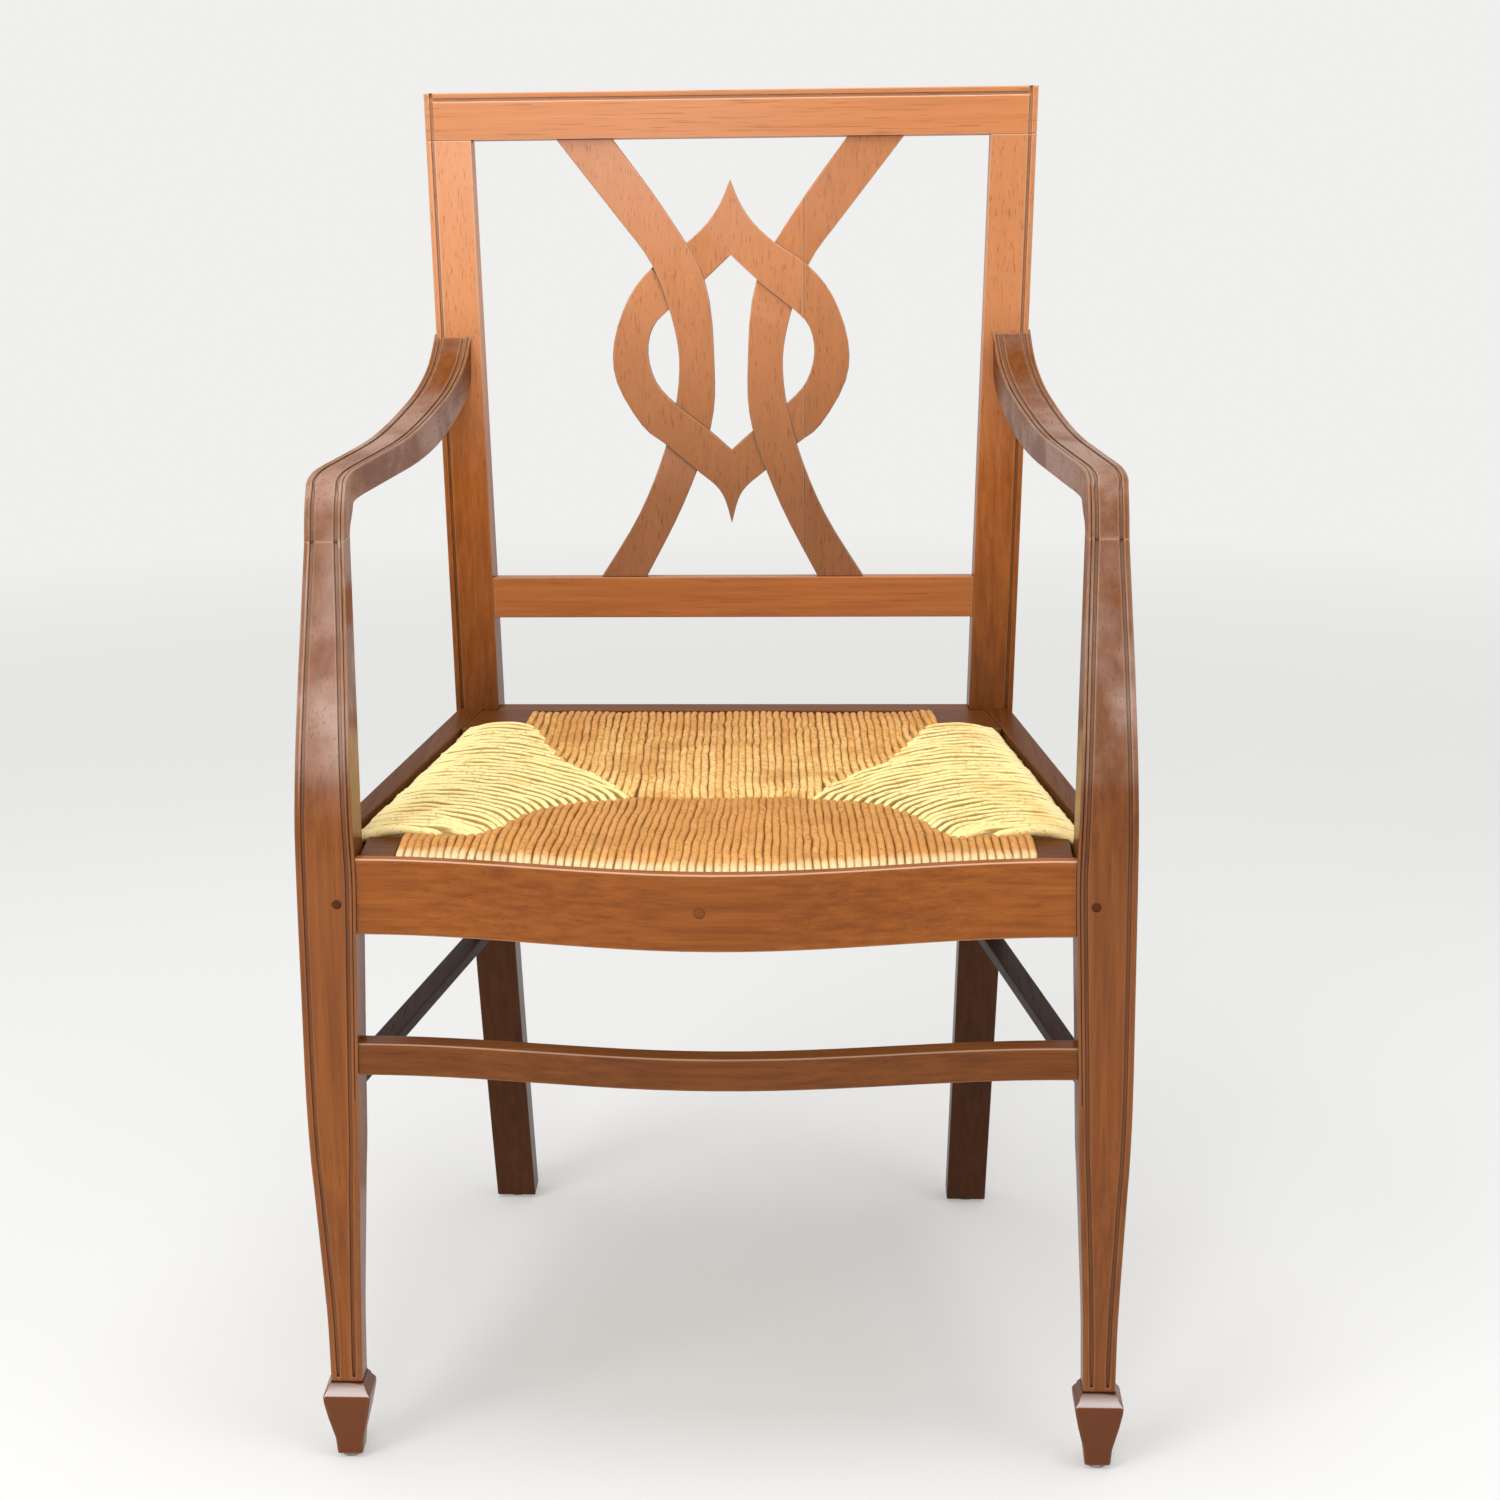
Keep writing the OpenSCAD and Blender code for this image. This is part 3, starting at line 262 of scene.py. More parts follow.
        # Painted shadow in the neck of the spade foot, and a painted glare on its front shoulder, which
        # faces up
        neckZ = heights["neck"]
        neck = wood.spread(height, neckZ - 0.001, neckZ) * (
            1 - wood.spread(height, neckZ + 0.0005, neckZ + 0.002))
        shoulder = foot * wood.spread(up, 0.25, 0.4) * (1 - wood.spread(back, -0.7, -0.4))
        worn = wood.blend(shoulder, worn, heights["shoulder"])
        rubbed = shoulder * (1.2 - wood.spread(height, neckZ - 0.006, neckZ - 0.001) * 0.9)
        edge = edge.maths("MAXIMUM", edge * (0.25 + upper * 0.75), rubbed)
        recessGrimeAndShade = recessGrimeAndShade.maths("MAXIMUM", recessGrimeAndShade, neck)
    if topHighlight:
        # Painted highlight: the rounded front edge of the top is painted pale, where light from above would
        # catch it
        edge = edge.maths("MAXIMUM", edge, wood.spread(up, 0.3, 0.5) * (1 - wood.spread(up, 0.8, 0.92)))
        bleachAndSheen = 0.75
    worn = wood.blend(bleachAndSheen, worn, look["fadedWorn"])
    colour = wood.blend(edge * (0.45 + blotch * 0.5), colour, worn)
    colour = wood.blend(recessGrimeAndShade, colour, look["grime"])
    tint = (toneAndShade, toneAndShade, toneAndShade)
    if heights:
        tint = wood.node("ShaderNodeCombineColor", None, {i: shade * toneAndShade for i in range(3)})
    colour = wood.blend(1.0, colour, tint, "MULTIPLY")
    wood.set(Base_Color=colour, Roughness=0.40 + blotch * 0.16 + pores * 0.12,
             Coat_Weight=gloss * (1.4 - blotch * 0.8) * (1 - recessGrimeAndShade),
             Normal=wood.bump(streaks * 0.5 - pores, 0.18, 0.0002, rounded))
    wood.set(Coat_Roughness=0.17)
    wood.set(Specular_IOR_Level=0.06)
    return wood.material


def steelFinish():
    steel = Finish("wornSteel")
    place = steel.node("ShaderNodeTexCoord", out="Object")
    wear = steel.noise(place, 240.0)
    steel.set(Base_Color=steel.blend(steel.spread(wear, 0.35, 0.65), (0.20, 0.18, 0.16), (0.36, 0.34, 0.32)),
              Metallic=0.9, Roughness=0.35 + wear * 0.2)
    return steel.material


# Softened copies of the wooden pieces

softening = {
    "joinWithin": 0.00002,
    "flatWithin": 0.6,  # degrees
    "sharpFrom": 32.0,  # degrees
    "arris": 0.0008,
    "bead": 0.0014,  # the outer edges of legs, arms, posts and crest rail
    "beadFace": 0.0032,
    "worn": 0.0018,  # the front rail's and the stretcher's top front edge
    "narrowest": 0.0010,  # a face narrower than this keeps its edges, such as a groove's side
    "shortest": 0.004,  # a worn edge shorter than this stays sharp
    "topWithin": 0.0008,
    "levelFrom": 0.9,  # how far up the normal of a level top points
    "frontFrom": -0.6,  # and how far back that of a front
    "seamWithin": 0.0004,
    "acute": math.radians(8),
    "smoothUnder": 31.0,
    "armJointZ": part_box("arm_left")[0].z,
}


def faceWidth(face):
    rim = sum(edge.calc_length() for edge in face.edges)
    return 2 * face.calc_area() / rim if rim > 0 else 0


def foldsOver(edge, bevelled):
    # Where the next edge of a face stays sharp and leaves almost in line, a bevel would fold over itself
    for face in edge.link_faces:
        for other in face.edges:
            shared = set(other.verts) & set(edge.verts)
            if other is not edge and other not in bevelled and len(shared) == 1:
                corner = shared.pop()
                mine = edge.other_vert(corner).co - corner.co
                turn = mine.angle(other.other_vert(corner).co - corner.co, 0)
                if not softening["acute"] < turn < math.pi - softening["acute"]:
                    return True
    return False


def plainPiece(source, name):
    # What the piece's modifiers make of it, as a plain mesh under its own name
    graph = bpy.context.evaluated_depsgraph_get()
    mesh = bpy.data.meshes.new_from_object(source.evaluated_get(graph), depsgraph=graph)
    old = source.data
    bpy.data.objects.remove(source)
    bpy.data.meshes.remove(old)
    mesh.name = name
    piece = bpy.data.objects.new(name, mesh)
    bpy.context.scene.collection.objects.link(piece)
    return piece


def softCopy(node, name, wornZ=None, beaded=False):
    mesh = bpy.data.meshes.new(name + "Sharp")
    body = bmesh.new()
    body.from_mesh(nodes[node].data)
    bmesh.ops.remove_doubles(body, verts=body.verts, dist=softening["joinWithin"])
    bmesh.ops.dissolve_limit(body, angle_limit=math.radians(softening["flatWithin"]), verts=body.verts,
                             edges=body.edges)
    sharp = math.radians(softening["sharpFrom"])
    seam = softening["armJointZ"]

    def corners():
        return [e for e in body.edges if len(e.link_faces) == 2 and e.is_convex
                and e.calc_face_angle(0) > sharp
                and not all(abs(v.co.z - seam) < softening["seamWithin"] for v in e.verts)]

    if wornZ is not None:
        front = [e for e in corners() if min(v.co.z for v in e.verts) > wornZ - softening["topWithin"]
                 and max(f.normal.z for f in e.link_faces) > softening["levelFrom"]
                 and min(f.normal.y for f in e.link_faces) < softening["frontFrom"]
                 and e.calc_length() > softening["shortest"]]
        bmesh.ops.bevel(body, geom=front, offset=softening["worn"], segments=4, profile=0.5,
                        affect="EDGES", clamp_overlap=True)

    def soften(width, offset, segments):
        edges = {e for e in corners() if min(faceWidth(f) for f in e.link_faces) > width}
        folding = True
        while folding:
            folding = {e for e in edges if foldsOver(e, edges)}
            edges -= folding
        bmesh.ops.bevel(body, geom=list(edges), offset=offset, segments=segments, profile=0.5,
                        affect="EDGES", clamp_overlap=False)

    if beaded:
        soften(softening["beadFace"], softening["bead"], 3)
    soften(softening["narrowest"], softening["arris"], 2)
    body.to_mesh(mesh)
    body.free()
    mesh.shade_smooth()
    mesh.set_sharp_from_angle(angle=math.radians(softening["smoothUnder"]))
    sharpPiece = bpy.data.objects.new(name + "Sharp", mesh)
    bpy.context.scene.collection.objects.link(sharpPiece)
    even = sharpPiece.modifiers.new("evenNormals", "WEIGHTED_NORMAL")
    even.keep_sharp = True
    even.weight = 100
    piece = plainPiece(sharpPiece, name)
    low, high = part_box(node)
    grown = max(max(low[i] - v.co[i], v.co[i] - high[i]) for v in piece.data.vertices for i in range(3))
    if grown > 0.00005:
        print(name, "stands", round(grown * 1000, 2), "mm outside its CAD box")
    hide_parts(node)
    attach(piece, bodyOf[node])
    return piece


# The rear posts are darker lower down, painted shade below the seat
postHeights = {"fadeLow": 0.62, "fadeHigh": 0.76, "low": 0.36, "high": 0.60, "lowShare": 0.21}
splatHeights = {"fadeLow": 0.0, "fadeHigh": 0.1, "low": 0.60, "high": 0.78, "lowShare": 0.53}
legHeights = {"fadeLow": 0.485, "fadeHigh": 0.53, "low": 0.42, "high": 0.49, "lowShare": 1.3,
              "patches": 15.0, "bareFrom": 0.565, "bareTo": 0.605, "neck": 0.0585,
              "shoulder": (0.95, 0.83, 0.79)}
knuckle = softening["armJointZ"]
armHeights = {"fadeLow": knuckle + 0.065, "fadeHigh": knuckle + 0.035, "low": 0.0, "high": 0.1,
              "lowShare": 1.0, "patches": 15.0}  # paler below at the knuckle, rubbing with painted glare, and darker above
woodPieces = [
    # node, grain, tone and shade, bleach and sheen, gloss
    # The tone is partly each piece's own and partly painted light: the right-hand posts, arms and legs are
    # darker than the left ones, and the side stretchers carry painted shade from the seat
    ("rear_post_left", "Z", 0.86, 0.92, 0.25), ("rear_post_right", "Z", 0.82, 0.75, 0.25),
    ("crest_rail", "X", 0.90, 0.62, 0.12), ("lower_back_rail", "X", 0.84, 0.15, 0.25),
    ("splat_main_board", "Z", 0.77, 0.78, 0.2), ("splat_edge_board", "Z", 0.74, 0.68, 0.2),
    ("arm_left", "Y", 0.50, 0.8, 0.17), ("arm_right", "Y", 0.45, 0.8, 0.17),
    ("front_leg_left", "Z", 0.50, 0.88, 0.45), ("front_leg_right", "Z", 0.44, 0.9, 0.45),
    ("front_seat_rail", "X", 0.76, 0.0, 0.25), ("rear_seat_rail", "X", 0.36, 0.0, 0.15),
    ("side_seat_rail_left", "Y", 0.28, 0.0, 0.08), ("side_seat_rail_right", "Y", 0.28, 0.0, 0.08),
    ("front_stretcher", "X", 0.43, 0.0, 0.3),
    ("side_stretcher_left", "Y", 0.07, 0.0, 0.04), ("side_stretcher_right", "Y", 0.07, 0.0, 0.04),
    ("seat_frame_front", "X", 0.30, 0.05, 0.1), ("seat_frame_back", "X", 0.30, 0.05, 0.1),
    ("seat_frame_left", "Y", 0.30, 0.0, 0.1), ("seat_frame_right", "Y", 0.30, 0.0, 0.1),
]
heightsOf = {"post": postHeights, "splat": splatHeights, "leg": legHeights, "arm": armHeights}
# Arms and front legs, whose beads are painted paler, as wear and as highlights, and whose pale patches are
# rubbing with painted sheen
mouldedLook = {**woodLook, "faded": (0.78, 0.48, 0.36), "worn": (0.90, 0.49, 0.28), "edgeRadius": 0.0026}


def plugAt(node, side):
    # Centre and radius of the round peg or plug at the node's lowest x, or at its highest x if side is -1
    low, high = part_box(node)
    radius = (high.z - low.z) / 2
    outer = low.x if side > 0 else high.x
    return {"centre": (outer + side * radius, low.y, low.z + radius), "radius": radius}


plugOf = {
    "front_leg_left": plugAt("front_joint_pegs", 1),
    "front_leg_right": plugAt("front_joint_pegs", -1),
    "front_seat_rail": plugAt("front_rail_plug", 1),
}
wornTops = {node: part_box(node)[1].z for node in ("front_seat_rail", "front_stretcher", "crest_rail")}


def plainName(node):
    first, *rest = node.split("_")
    return first + "".join(word.capitalize() for word in rest)


for seed, (node, grain, *tone) in enumerate(woodPieces):
    piece = softCopy(node, plainName(node), wornTops.get(node), node.startswith(("arm", "front_leg")))
    group = next((key for key in heightsOf if key in node), None)
    look = mouldedLook if group in ("leg", "arm") else woodLook
    finish = woodFinish(plainName(node) + "Wood", grain, seed, *tone, heightsOf.get(group), node in wornTops,
                        look, plugOf.get(node))
    piece.data.materials.append(finish)
print("wooden pieces softened,", len(woodPieces))

blockWood = woodFinish("blockWood", "X", 40, 0.8, 0.2, 0.1)
pegLook = {**woodLook, "worn": woodLook["dark"]}
darkPeg = woodFinish("darkPeg", "Y", 41, 0.22, 0.0, 0.05, look=pegLook)
brownPlug = woodFinish("brownPlug", "Y", 42, 0.58, 0.0, 0.2, look=pegLook)
wornSteel = steelFinish()
keptNodes = {
    "corner_block_front_left": blockWood, "corner_block_front_right": blockWood,
    "corner_block_rear_left": blockWood, "corner_block_rear_right": blockWood,
    "corner_block_screws": wornSteel, "front_joint_pegs": darkPeg, "front_rail_plug": brownPlug,
    "arm_dowels": blockWood, "arm_screws": wornSteel, "arm_screw_plugs": darkPeg,
    "front_glides": wornSteel, "rear_glides": wornSteel,
}
for node, finish in keptNodes.items():
    mesh = nodes[node].data
    for index in range(len(mesh.materials)):
        mesh.materials[index] = finish
print("small parts finished,", len(keptNodes))

# Rush cords, wound over each side of the seat frame

cordLook = {
    "radiusChange": 0.15,
    "wobble": 0.0009,
    "wobbleScale": 42.0,
    "swellScale": 85.0,
    "twist": 260.0,  # radians along each metre
    "step": 0.0055,
    "sides": 8,
    "seamRun": 0.0060,
    "tipRun": 0.018,
    "longest": 0.4,
    "search": 0.001,
    "margin": 0.0003,
    "aboveFrame": 0.0025,  # the rush's top over the seat frame's at its front edge
    "turnPoints": 15,
    "arch": math.radians(150),
}


def spanAt(node, axis, value):
    # Lowest and highest place of a CAD node on the other level axis, where this axis has the value
    mesh = nodes[node].data
    place = np.array([v.co for v in mesh.vertices])
    ends = place[np.array([e.vertices[:] for e in mesh.edges])]
    first, second = ends[:, 0], ends[:, 1]
    cut = (first[:, axis] - value) * (second[:, axis] - value) <= 0
    first, second = first[cut], second[cut]
    run = second[:, axis] - first[:, axis]
    share = np.where(np.abs(run) > 1e-9, (value - first[:, axis]) / np.where(run == 0, 1, run), 0)
    other = first[:, 1 - axis] + share * (second[:, 1 - axis] - first[:, 1 - axis])
    return other.min(), other.max()


class Panel:
    # One side's rush. Its cords start along the level axis "across" and run inward along the other one
    def __init__(self, node, size):
        self.node = node
        self.size = size
        self.across = size["across"]
        self.inward = size["inward"]
        low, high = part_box(node)
        self.low = low[self.across] + cordLook["margin"] + size["inset"]
        self.high = high[self.across] - cordLook["margin"]
        self.rails = np.linspace(self.low, self.high, 241)
        spans = np.array([spanAt(node, self.across, value) for value in self.rails])
        self.edges, self.seams = spans.T[::self.inward]
        self.bottom = low.z
        self.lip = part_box("seat_frame_front")[1].z + cordLook["aboveFrame"]
        self.depth = np.abs(self.seams - self.edges).max()

    def edge(self, value):
        return np.interp(value, self.rails, self.edges)

    def seam(self, value):
        return np.interp(value, self.rails, self.seams)

    def route(self, start):
        # The cord's points with its radius, its share of lip, which gets a painted highlight, and its share
        # of tip, which gets painted shade, at each
        size = self.size
        r = size["radius"]
        topZ, lowZ = self.lip - r, self.bottom + r
        turn = (topZ - lowZ) / 2
        first = r + turn
        edge = self.edge(start)

        def at(run):
            value = start + size["lean"](start) * (run / self.depth) ** size["leanPower"]
            return value, edge + self.inward * run

        run = first
        while run < cordLook["longest"]:
            value, place = at(run)
            kept = np.clip(value, self.low, self.high)
            inside = (self.seam(kept) - place) * self.inward
            if inside < size["seamGap"](start) or abs(value - kept) > size["spill"]:
                break
            run += cordLook["search"]
        length = max(run - first, 0.004)
        steps = max(int(length / cordLook["step"]), 4)
        bend = size["tipBend"](start)
        top, under = [], []
        for i in range(steps + 1):
            share = i / steps
            value, place = at(first + share * length)
            left = length * (1 - share)
            value += bend * max(0.0, 1 - left / cordLook["tipRun"]) ** 2
            tip = max(0.0, 1 - left / cordLook["seamRun"])
            dive = tip ** 2 * size["seamDrop"]
            shade = min(1.0, length / 0.05)  # short cords rise less
            crown = size["crown"] * math.sin(cordLook["arch"] * share ** 0.75) * shade
            rise = crown + size["seamLift"] * share
            thick = r * (1 + (size["seamThickness"] - 1) * share)
            lip = max(0.0, 1 - share * length / size["lipRun"]) if size["lipRun"] else 0.0
            top.append((value, place, topZ + rise - dive, thick, lip, tip))
            under.append((value, place, lowZ + dive, thick, lip, tip))
        turned = [(*at(first - turn * math.cos(a)), (topZ + lowZ) / 2 + turn * math.sin(a), r,
                   min(1.0, (math.pi / 2 - a) / size["lipTurn"]), 0.0)
                  for a in np.linspace(math.pi / 2, -math.pi / 2, cordLook["turnPoints"])[1:-1]]
        path = top[::-1] + turned + under
        if self.across == 1:
            path = [(p[1], p[0], *p[2:]) for p in path]
        return np.array(path)

    def routes(self):
        draw = random.Random(self.node)
        inset = self.size["radius"] - self.size["spill"]
        starts = np.linspace(self.low + inset, self.high - inset, self.size["cords"])
        return [self.route(start + draw.uniform(-0.0003, 0.0003)) for start in starts]


def cordTree():
    tree = bpy.data.node_groups.new("rushCords", "GeometryNodeTree")
    asks = {"Geometry": "Geometry", "Radius Change": "Float", "Wobble": "Float", "Step": "Float",
            "Sides": "Int", "Seed": "Int", "Material": "Material"}
    for title, kind in asks.items():
        tree.interface.new_socket(name=title, in_out="INPUT", socket_type="NodeSocket" + kind)
    tree.interface.new_socket(name="Geometry", in_out="OUTPUT", socket_type="NodeSocketGeometry")
    maker = NodeMaker(tree)
    given = tree.nodes.new("NodeGroupInput")
    asked = {s.name: Socket(maker, s) for s in given.outputs if s.name}
    curves = maker.node("GeometryNodeMeshToCurve", None, {"Mesh": asked["Geometry"]})
    curves = maker.node("GeometryNodeResampleCurve", {"mode": "LENGTH"},
                        {"Curve": curves, "Length": asked["Step"]})
    place = maker.node("GeometryNodeInputPosition")
    shaky = maker.node("ShaderNodeTexNoise", None,
                       {"Vector": place, "Scale": cordLook["wobbleScale"], "Detail": 1.0}, out="Color")
    centred = maker.node("ShaderNodeVectorMath", {"operation": "SUBTRACT"},
                         {0: shaky, 1: (0.5, 0.5, 0.5)})
    moved = maker.node("ShaderNodeVectorMath", {"operation": "SCALE"},
                       {0: centred, "Scale": asked["Wobble"] * 4.0})
    curves = maker.node("GeometryNodeSetPosition", None, {"Geometry": curves, "Offset": moved})
    own = maker.node("GeometryNodeInputIndex")
    number = maker.node("GeometryNodeFieldOnDomain", {"domain": "CURVE", "data_type": "INT"}, {0: own})
    tone = maker.node("FunctionNodeRandomValue", {"data_type": "FLOAT"},
                      {"ID": number, "Seed": asked["Seed"]}, out=1)
    thickness = maker.node("GeometryNodeInputNamedAttribute", {"data_type": "FLOAT"}, {"Name": "cordRadius"})
    swell = maker.node("ShaderNodeTexNoise", None,
                       {"Vector": place, "Scale": cordLook["swellScale"], "Detail": 1.0})
    radius = thickness * (1 + asked["Radius Change"] * ((swell - 0.5) * 2 + (tone - 0.5) * 0.7))
    curves = maker.node("GeometryNodeStoreNamedAttribute", {"data_type": "FLOAT", "domain": "CURVE"},
                        {"Geometry": curves, "Name": "cordTone", "Value": tone})
    length = maker.node("GeometryNodeSplineParameter", out="Length")
    curves = maker.node("GeometryNodeStoreNamedAttribute", {"data_type": "FLOAT", "domain": "POINT"},
                        {"Geometry": curves, "Name": "cordLength", "Value": length})
    ring = maker.node("GeometryNodeCurvePrimitiveCircle", {"mode": "RADIUS"},
                      {"Resolution": asked["Sides"], "Radius": 1.0})
    onRing = maker.node("GeometryNodeInputPosition")
    ring = maker.node("GeometryNodeStoreNamedAttribute", {"data_type": "FLOAT_VECTOR", "domain": "POINT"},
                      {"Geometry": ring, "Name": "cordRound", "Value": onRing})
    solid = maker.node("GeometryNodeCurveToMesh", None,
                       {"Curve": curves, "Profile Curve": ring, "Scale": radius, "Fill Caps": True})
    solid = maker.node("GeometryNodeSetShadeSmooth", None, {"Geometry": solid})
    solid = maker.node("GeometryNodeRealizeInstances", None, {"Geometry": solid})
    solid = maker.node("GeometryNodeSetMaterial", None, {"Geometry": solid, "Material": asked["Material"]})
    made = tree.nodes.new("NodeGroupOutput")
    maker.feed(made.inputs["Geometry"], solid)
    return tree


def linesObject(name, routes):
    mesh = bpy.data.meshes.new(name)
    edges, start = [], 0
    for route in routes:
        edges += [(i, i + 1) for i in range(start, start + len(route) - 1)]
        start += len(route)
    points = np.concatenate(routes)
    mesh.from_pydata([tuple(p) for p in points[:, :3]], edges, [])
    for column, title in enumerate(("cordRadius", "cordLip", "cordTip"), 3):
        kept = mesh.attributes.new(title, "FLOAT", "POINT")
        kept.data.foreach_set("value", points[:, column].astype("f"))
    lines = bpy.data.objects.new(name, mesh)
    bpy.context.scene.collection.objects.link(lines)
    return lines


def cordPiece(name, routes, tree, values):
    lines = linesObject(name + "Lines", routes)
    modifier = lines.modifiers.new("made", "NODES")
    modifier.node_group = tree
    sockets = {s.name: s.identifier for s in tree.interface.items_tree
               if s.item_type == "SOCKET" and s.in_out == "INPUT"}
    for title, value in values.items():
        modifier[sockets[title]] = value
    return plainPiece(lines, name)


def resampled(route, count):
    steps = np.concatenate([[0], np.cumsum(np.linalg.norm(np.diff(route[:, :3], axis=0), axis=1))])
    wanted = np.linspace(0, steps[-1], count)
    return np.stack([np.interp(wanted, steps, route[:, k]) for k in range(3)], 1)


def stuffingPiece(name, routes):
    # A closed body through the cords' centre lines
    count = 40
    body = bmesh.new()
    grid = [[body.verts.new(p) for p in resampled(route, count)] for route in routes]
    for a, b in zip(grid, grid[1:]):
        for i in range(count):
            j = (i + 1) % count
            body.faces.new((a[i], a[j], b[j], b[i]))
    body.faces.new(grid[0])
    body.faces.new(grid[-1][::-1])
    bmesh.ops.recalc_face_normals(body, faces=body.faces)
    mesh = bpy.data.meshes.new(name)
    body.to_mesh(mesh)
    body.free()
    piece = bpy.data.objects.new(name, mesh)
    bpy.context.scene.collection.objects.link(piece)
    return piece


sideLook = {
    "pale": (0.92, 0.845, 0.52),
    "deep": (0.95, 0.76, 0.33),
    "patch": (0.90, 0.56, 0.19),
    "fleck": (0.60, 0.40, 0.14),
    # The gap colour is painted shade between the cords, on their sides and under their tips
    "gap": (0.44, 0.28, 0.08),
    # The lip colour is a painted highlight on the cords' turn over the rail
    "lip": (0.98, 0.80, 0.40),
    "patchFrom": 0.54,
    "patchShare": 0.55,
    "gapFrom": 0.38,
    "gapTo": 0.62,
    "gapShare": 1.0,
    "ripeY": (-9.0, -8.0),  # past these places the paler rush has turned to the deeper one, here all of it
    "bareY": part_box("rush_left")[0].y + 0.0030,  # in front of this nothing shades the cords' sides
}
frontLook = {
    "pale": (0.80, 0.43, 0.143),
    "deep": (0.60, 0.285, 0.080),
    "patch": (0.50, 0.22, 0.058),
    "fleck": (0.33, 0.14, 0.035),
    "gap": (0.30, 0.125, 0.030),
    # The lip colour is a painted highlight on the cords' turn over the rail
    "lip": (0.86, 0.76, 0.46),
    "patchFrom": 0.50,
    "patchShare": 0.55,
    "gapFrom": 0.34,
    "gapTo": 0.86,
    "gapShare": 0.6,
    "ripeY": (-0.245, -0.205),
}
backLook = {
    "pale": (0.90, 0.62, 0.24),
    "deep": (0.64, 0.30, 0.075),
    "patch": (0.54, 0.235, 0.055),
    "fleck": (0.34, 0.145, 0.033),
    "gap": (0.29, 0.125, 0.028),
    "lip": (0.62, 0.32, 0.10),
    "patchFrom": 0.52,
    "patchShare": 0.6,
    "gapFrom": 0.30,
    "gapTo": 0.86,
    "gapShare": 0.82,
    "ripeY": (-0.08, 0.13),
}


def rushFinish(name, look):
    rush = Finish(name)
    place = rush.node("ShaderNodeTexCoord", out="Object")
    own = {title: rush.node("ShaderNodeAttribute", {"attribute_name": title}, out="Fac")
           for title in ("cordTone", "cordLength", "cordLip", "cordTip")}
    tone, length = own["cordTone"], own["cordLength"]
    ring = rush.node("ShaderNodeAttribute", {"attribute_name": "cordRound"}, out="Vector")
    twisted = rush.node("ShaderNodeVectorRotate", {"rotation_type": "Z_AXIS"},
                        {"Vector": ring, "Angle": length * cordLook["twist"] + tone * 6.0})
    lay = rush.node("ShaderNodeCombineXYZ", None, {"Z": length * 40.0 + tone * 40.0})
    fibre = rush.node("ShaderNodeVectorMath", {"operation": "ADD"}, {0: twisted, 1: lay})
    fibres = rush.spread(rush.noise(fibre, 3.0, 3.0, 0.65), 0.34, 0.66)
    along = rush.node("ShaderNodeSeparateXYZ", None, {"Vector": place}, out="Y")
    ripeness = rush.spread(along, *look["ripeY"])
    ripe = tone * 0.24 + fibres * 0.60 + rush.noise(place, 90.0, 2.0) * 0.24 + ripeness * 0.42
    colour = rush.blend(rush.spread(ripe, 0.36, 0.98), look["pale"], look["deep"])
    patches = rush.noise(place, 26.0, 3.0, 0.6)
    patchy = rush.spread(patches, look["patchFrom"], look["patchFrom"] + 0.14)
    colour = rush.blend(patchy * look["patchShare"], colour, look["patch"])
    flecks = rush.spread(rush.noise(place, 330.0, 2.0), 0.57, 0.68)
    colour = rush.blend(flecks * 0.75, colour, look["fleck"])
    # On the cords' turn over the rail the lip colour is painted, a painted highlight on the front and side
    # panels
    lipHighlight = own["cordLip"] * (0.5 + fibres * 0.6)
    colour = rush.blend(lipHighlight, colour, look["lip"])
    # Painted shade on the cords' sides, where they meet, and on their tips, where they dive under the next
    # side's cords
    side = rush.node("ShaderNodeSeparateXYZ", None, {"Vector": ring}, out="X")
    sideShade = rush.spread(side * side, look["gapFrom"], look["gapTo"])
    if "bareY" in look:
        sideShade = sideShade * rush.spread(along, look["bareY"], look["bareY"] + 0.002)
    under = rush.spread(own["cordTip"], 0.72, 1.0)
    gapAndTipShade = sideShade.maths("MAXIMUM", sideShade * look["gapShare"], under * 0.9)
    colour = rush.blend(gapAndTipShade, colour, look["gap"])
    rush.set(Base_Color=colour, Roughness=0.5 + fibres * 0.2,
             Normal=rush.bump(fibres - flecks * 0.5, 0.5, 0.0005))
    rush.set(Specular_IOR_Level=0.12)
    return rush.material


def strawFinish():
    straw = Finish("stuffingStraw")
    mixed = straw.noise(straw.node("ShaderNodeTexCoord", out="Object"), 300.0)
    straw.set(Base_Color=straw.blend(mixed, (0.24, 0.15, 0.055), (0.42, 0.28, 0.11)), Roughness=0.9)
    return straw.material


# The places in these sizes lie along the axis that the side's cords start on
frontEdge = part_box("rush_left")[0].y
frontPart = -0.005  # in front of this the side cords end on the front rush, behind it on the back rush
corner = 0.066  # the back cords further out than this end on the side rush
sideSize = {
    "across": 1,
    "inset": 0.0019,  # clear of the front legs when the seat is lifted
    "cords": 34,
    "radius": 0.0037,
    "seamThickness": 0.80,
    "crown": 0.0046,
    "seamLift": 0.0016,
    "seamDrop": 0.0028,
    "seamGap": lambda start: 0.002 if start < frontPart else -0.003,
    "lipRun": 0.010,
    "lipTurn": 0.1,
    "spill": 0.0,
    "leanPower": 2.2,
    "lean": lambda start: -0.116 * min(1.0, 0.12 + (start - frontEdge) / 0.040),
    "tipBend": lambda start: -0.005 * min(1.0, (start - frontEdge) / 0.030) if start < frontPart else 0.0,
}
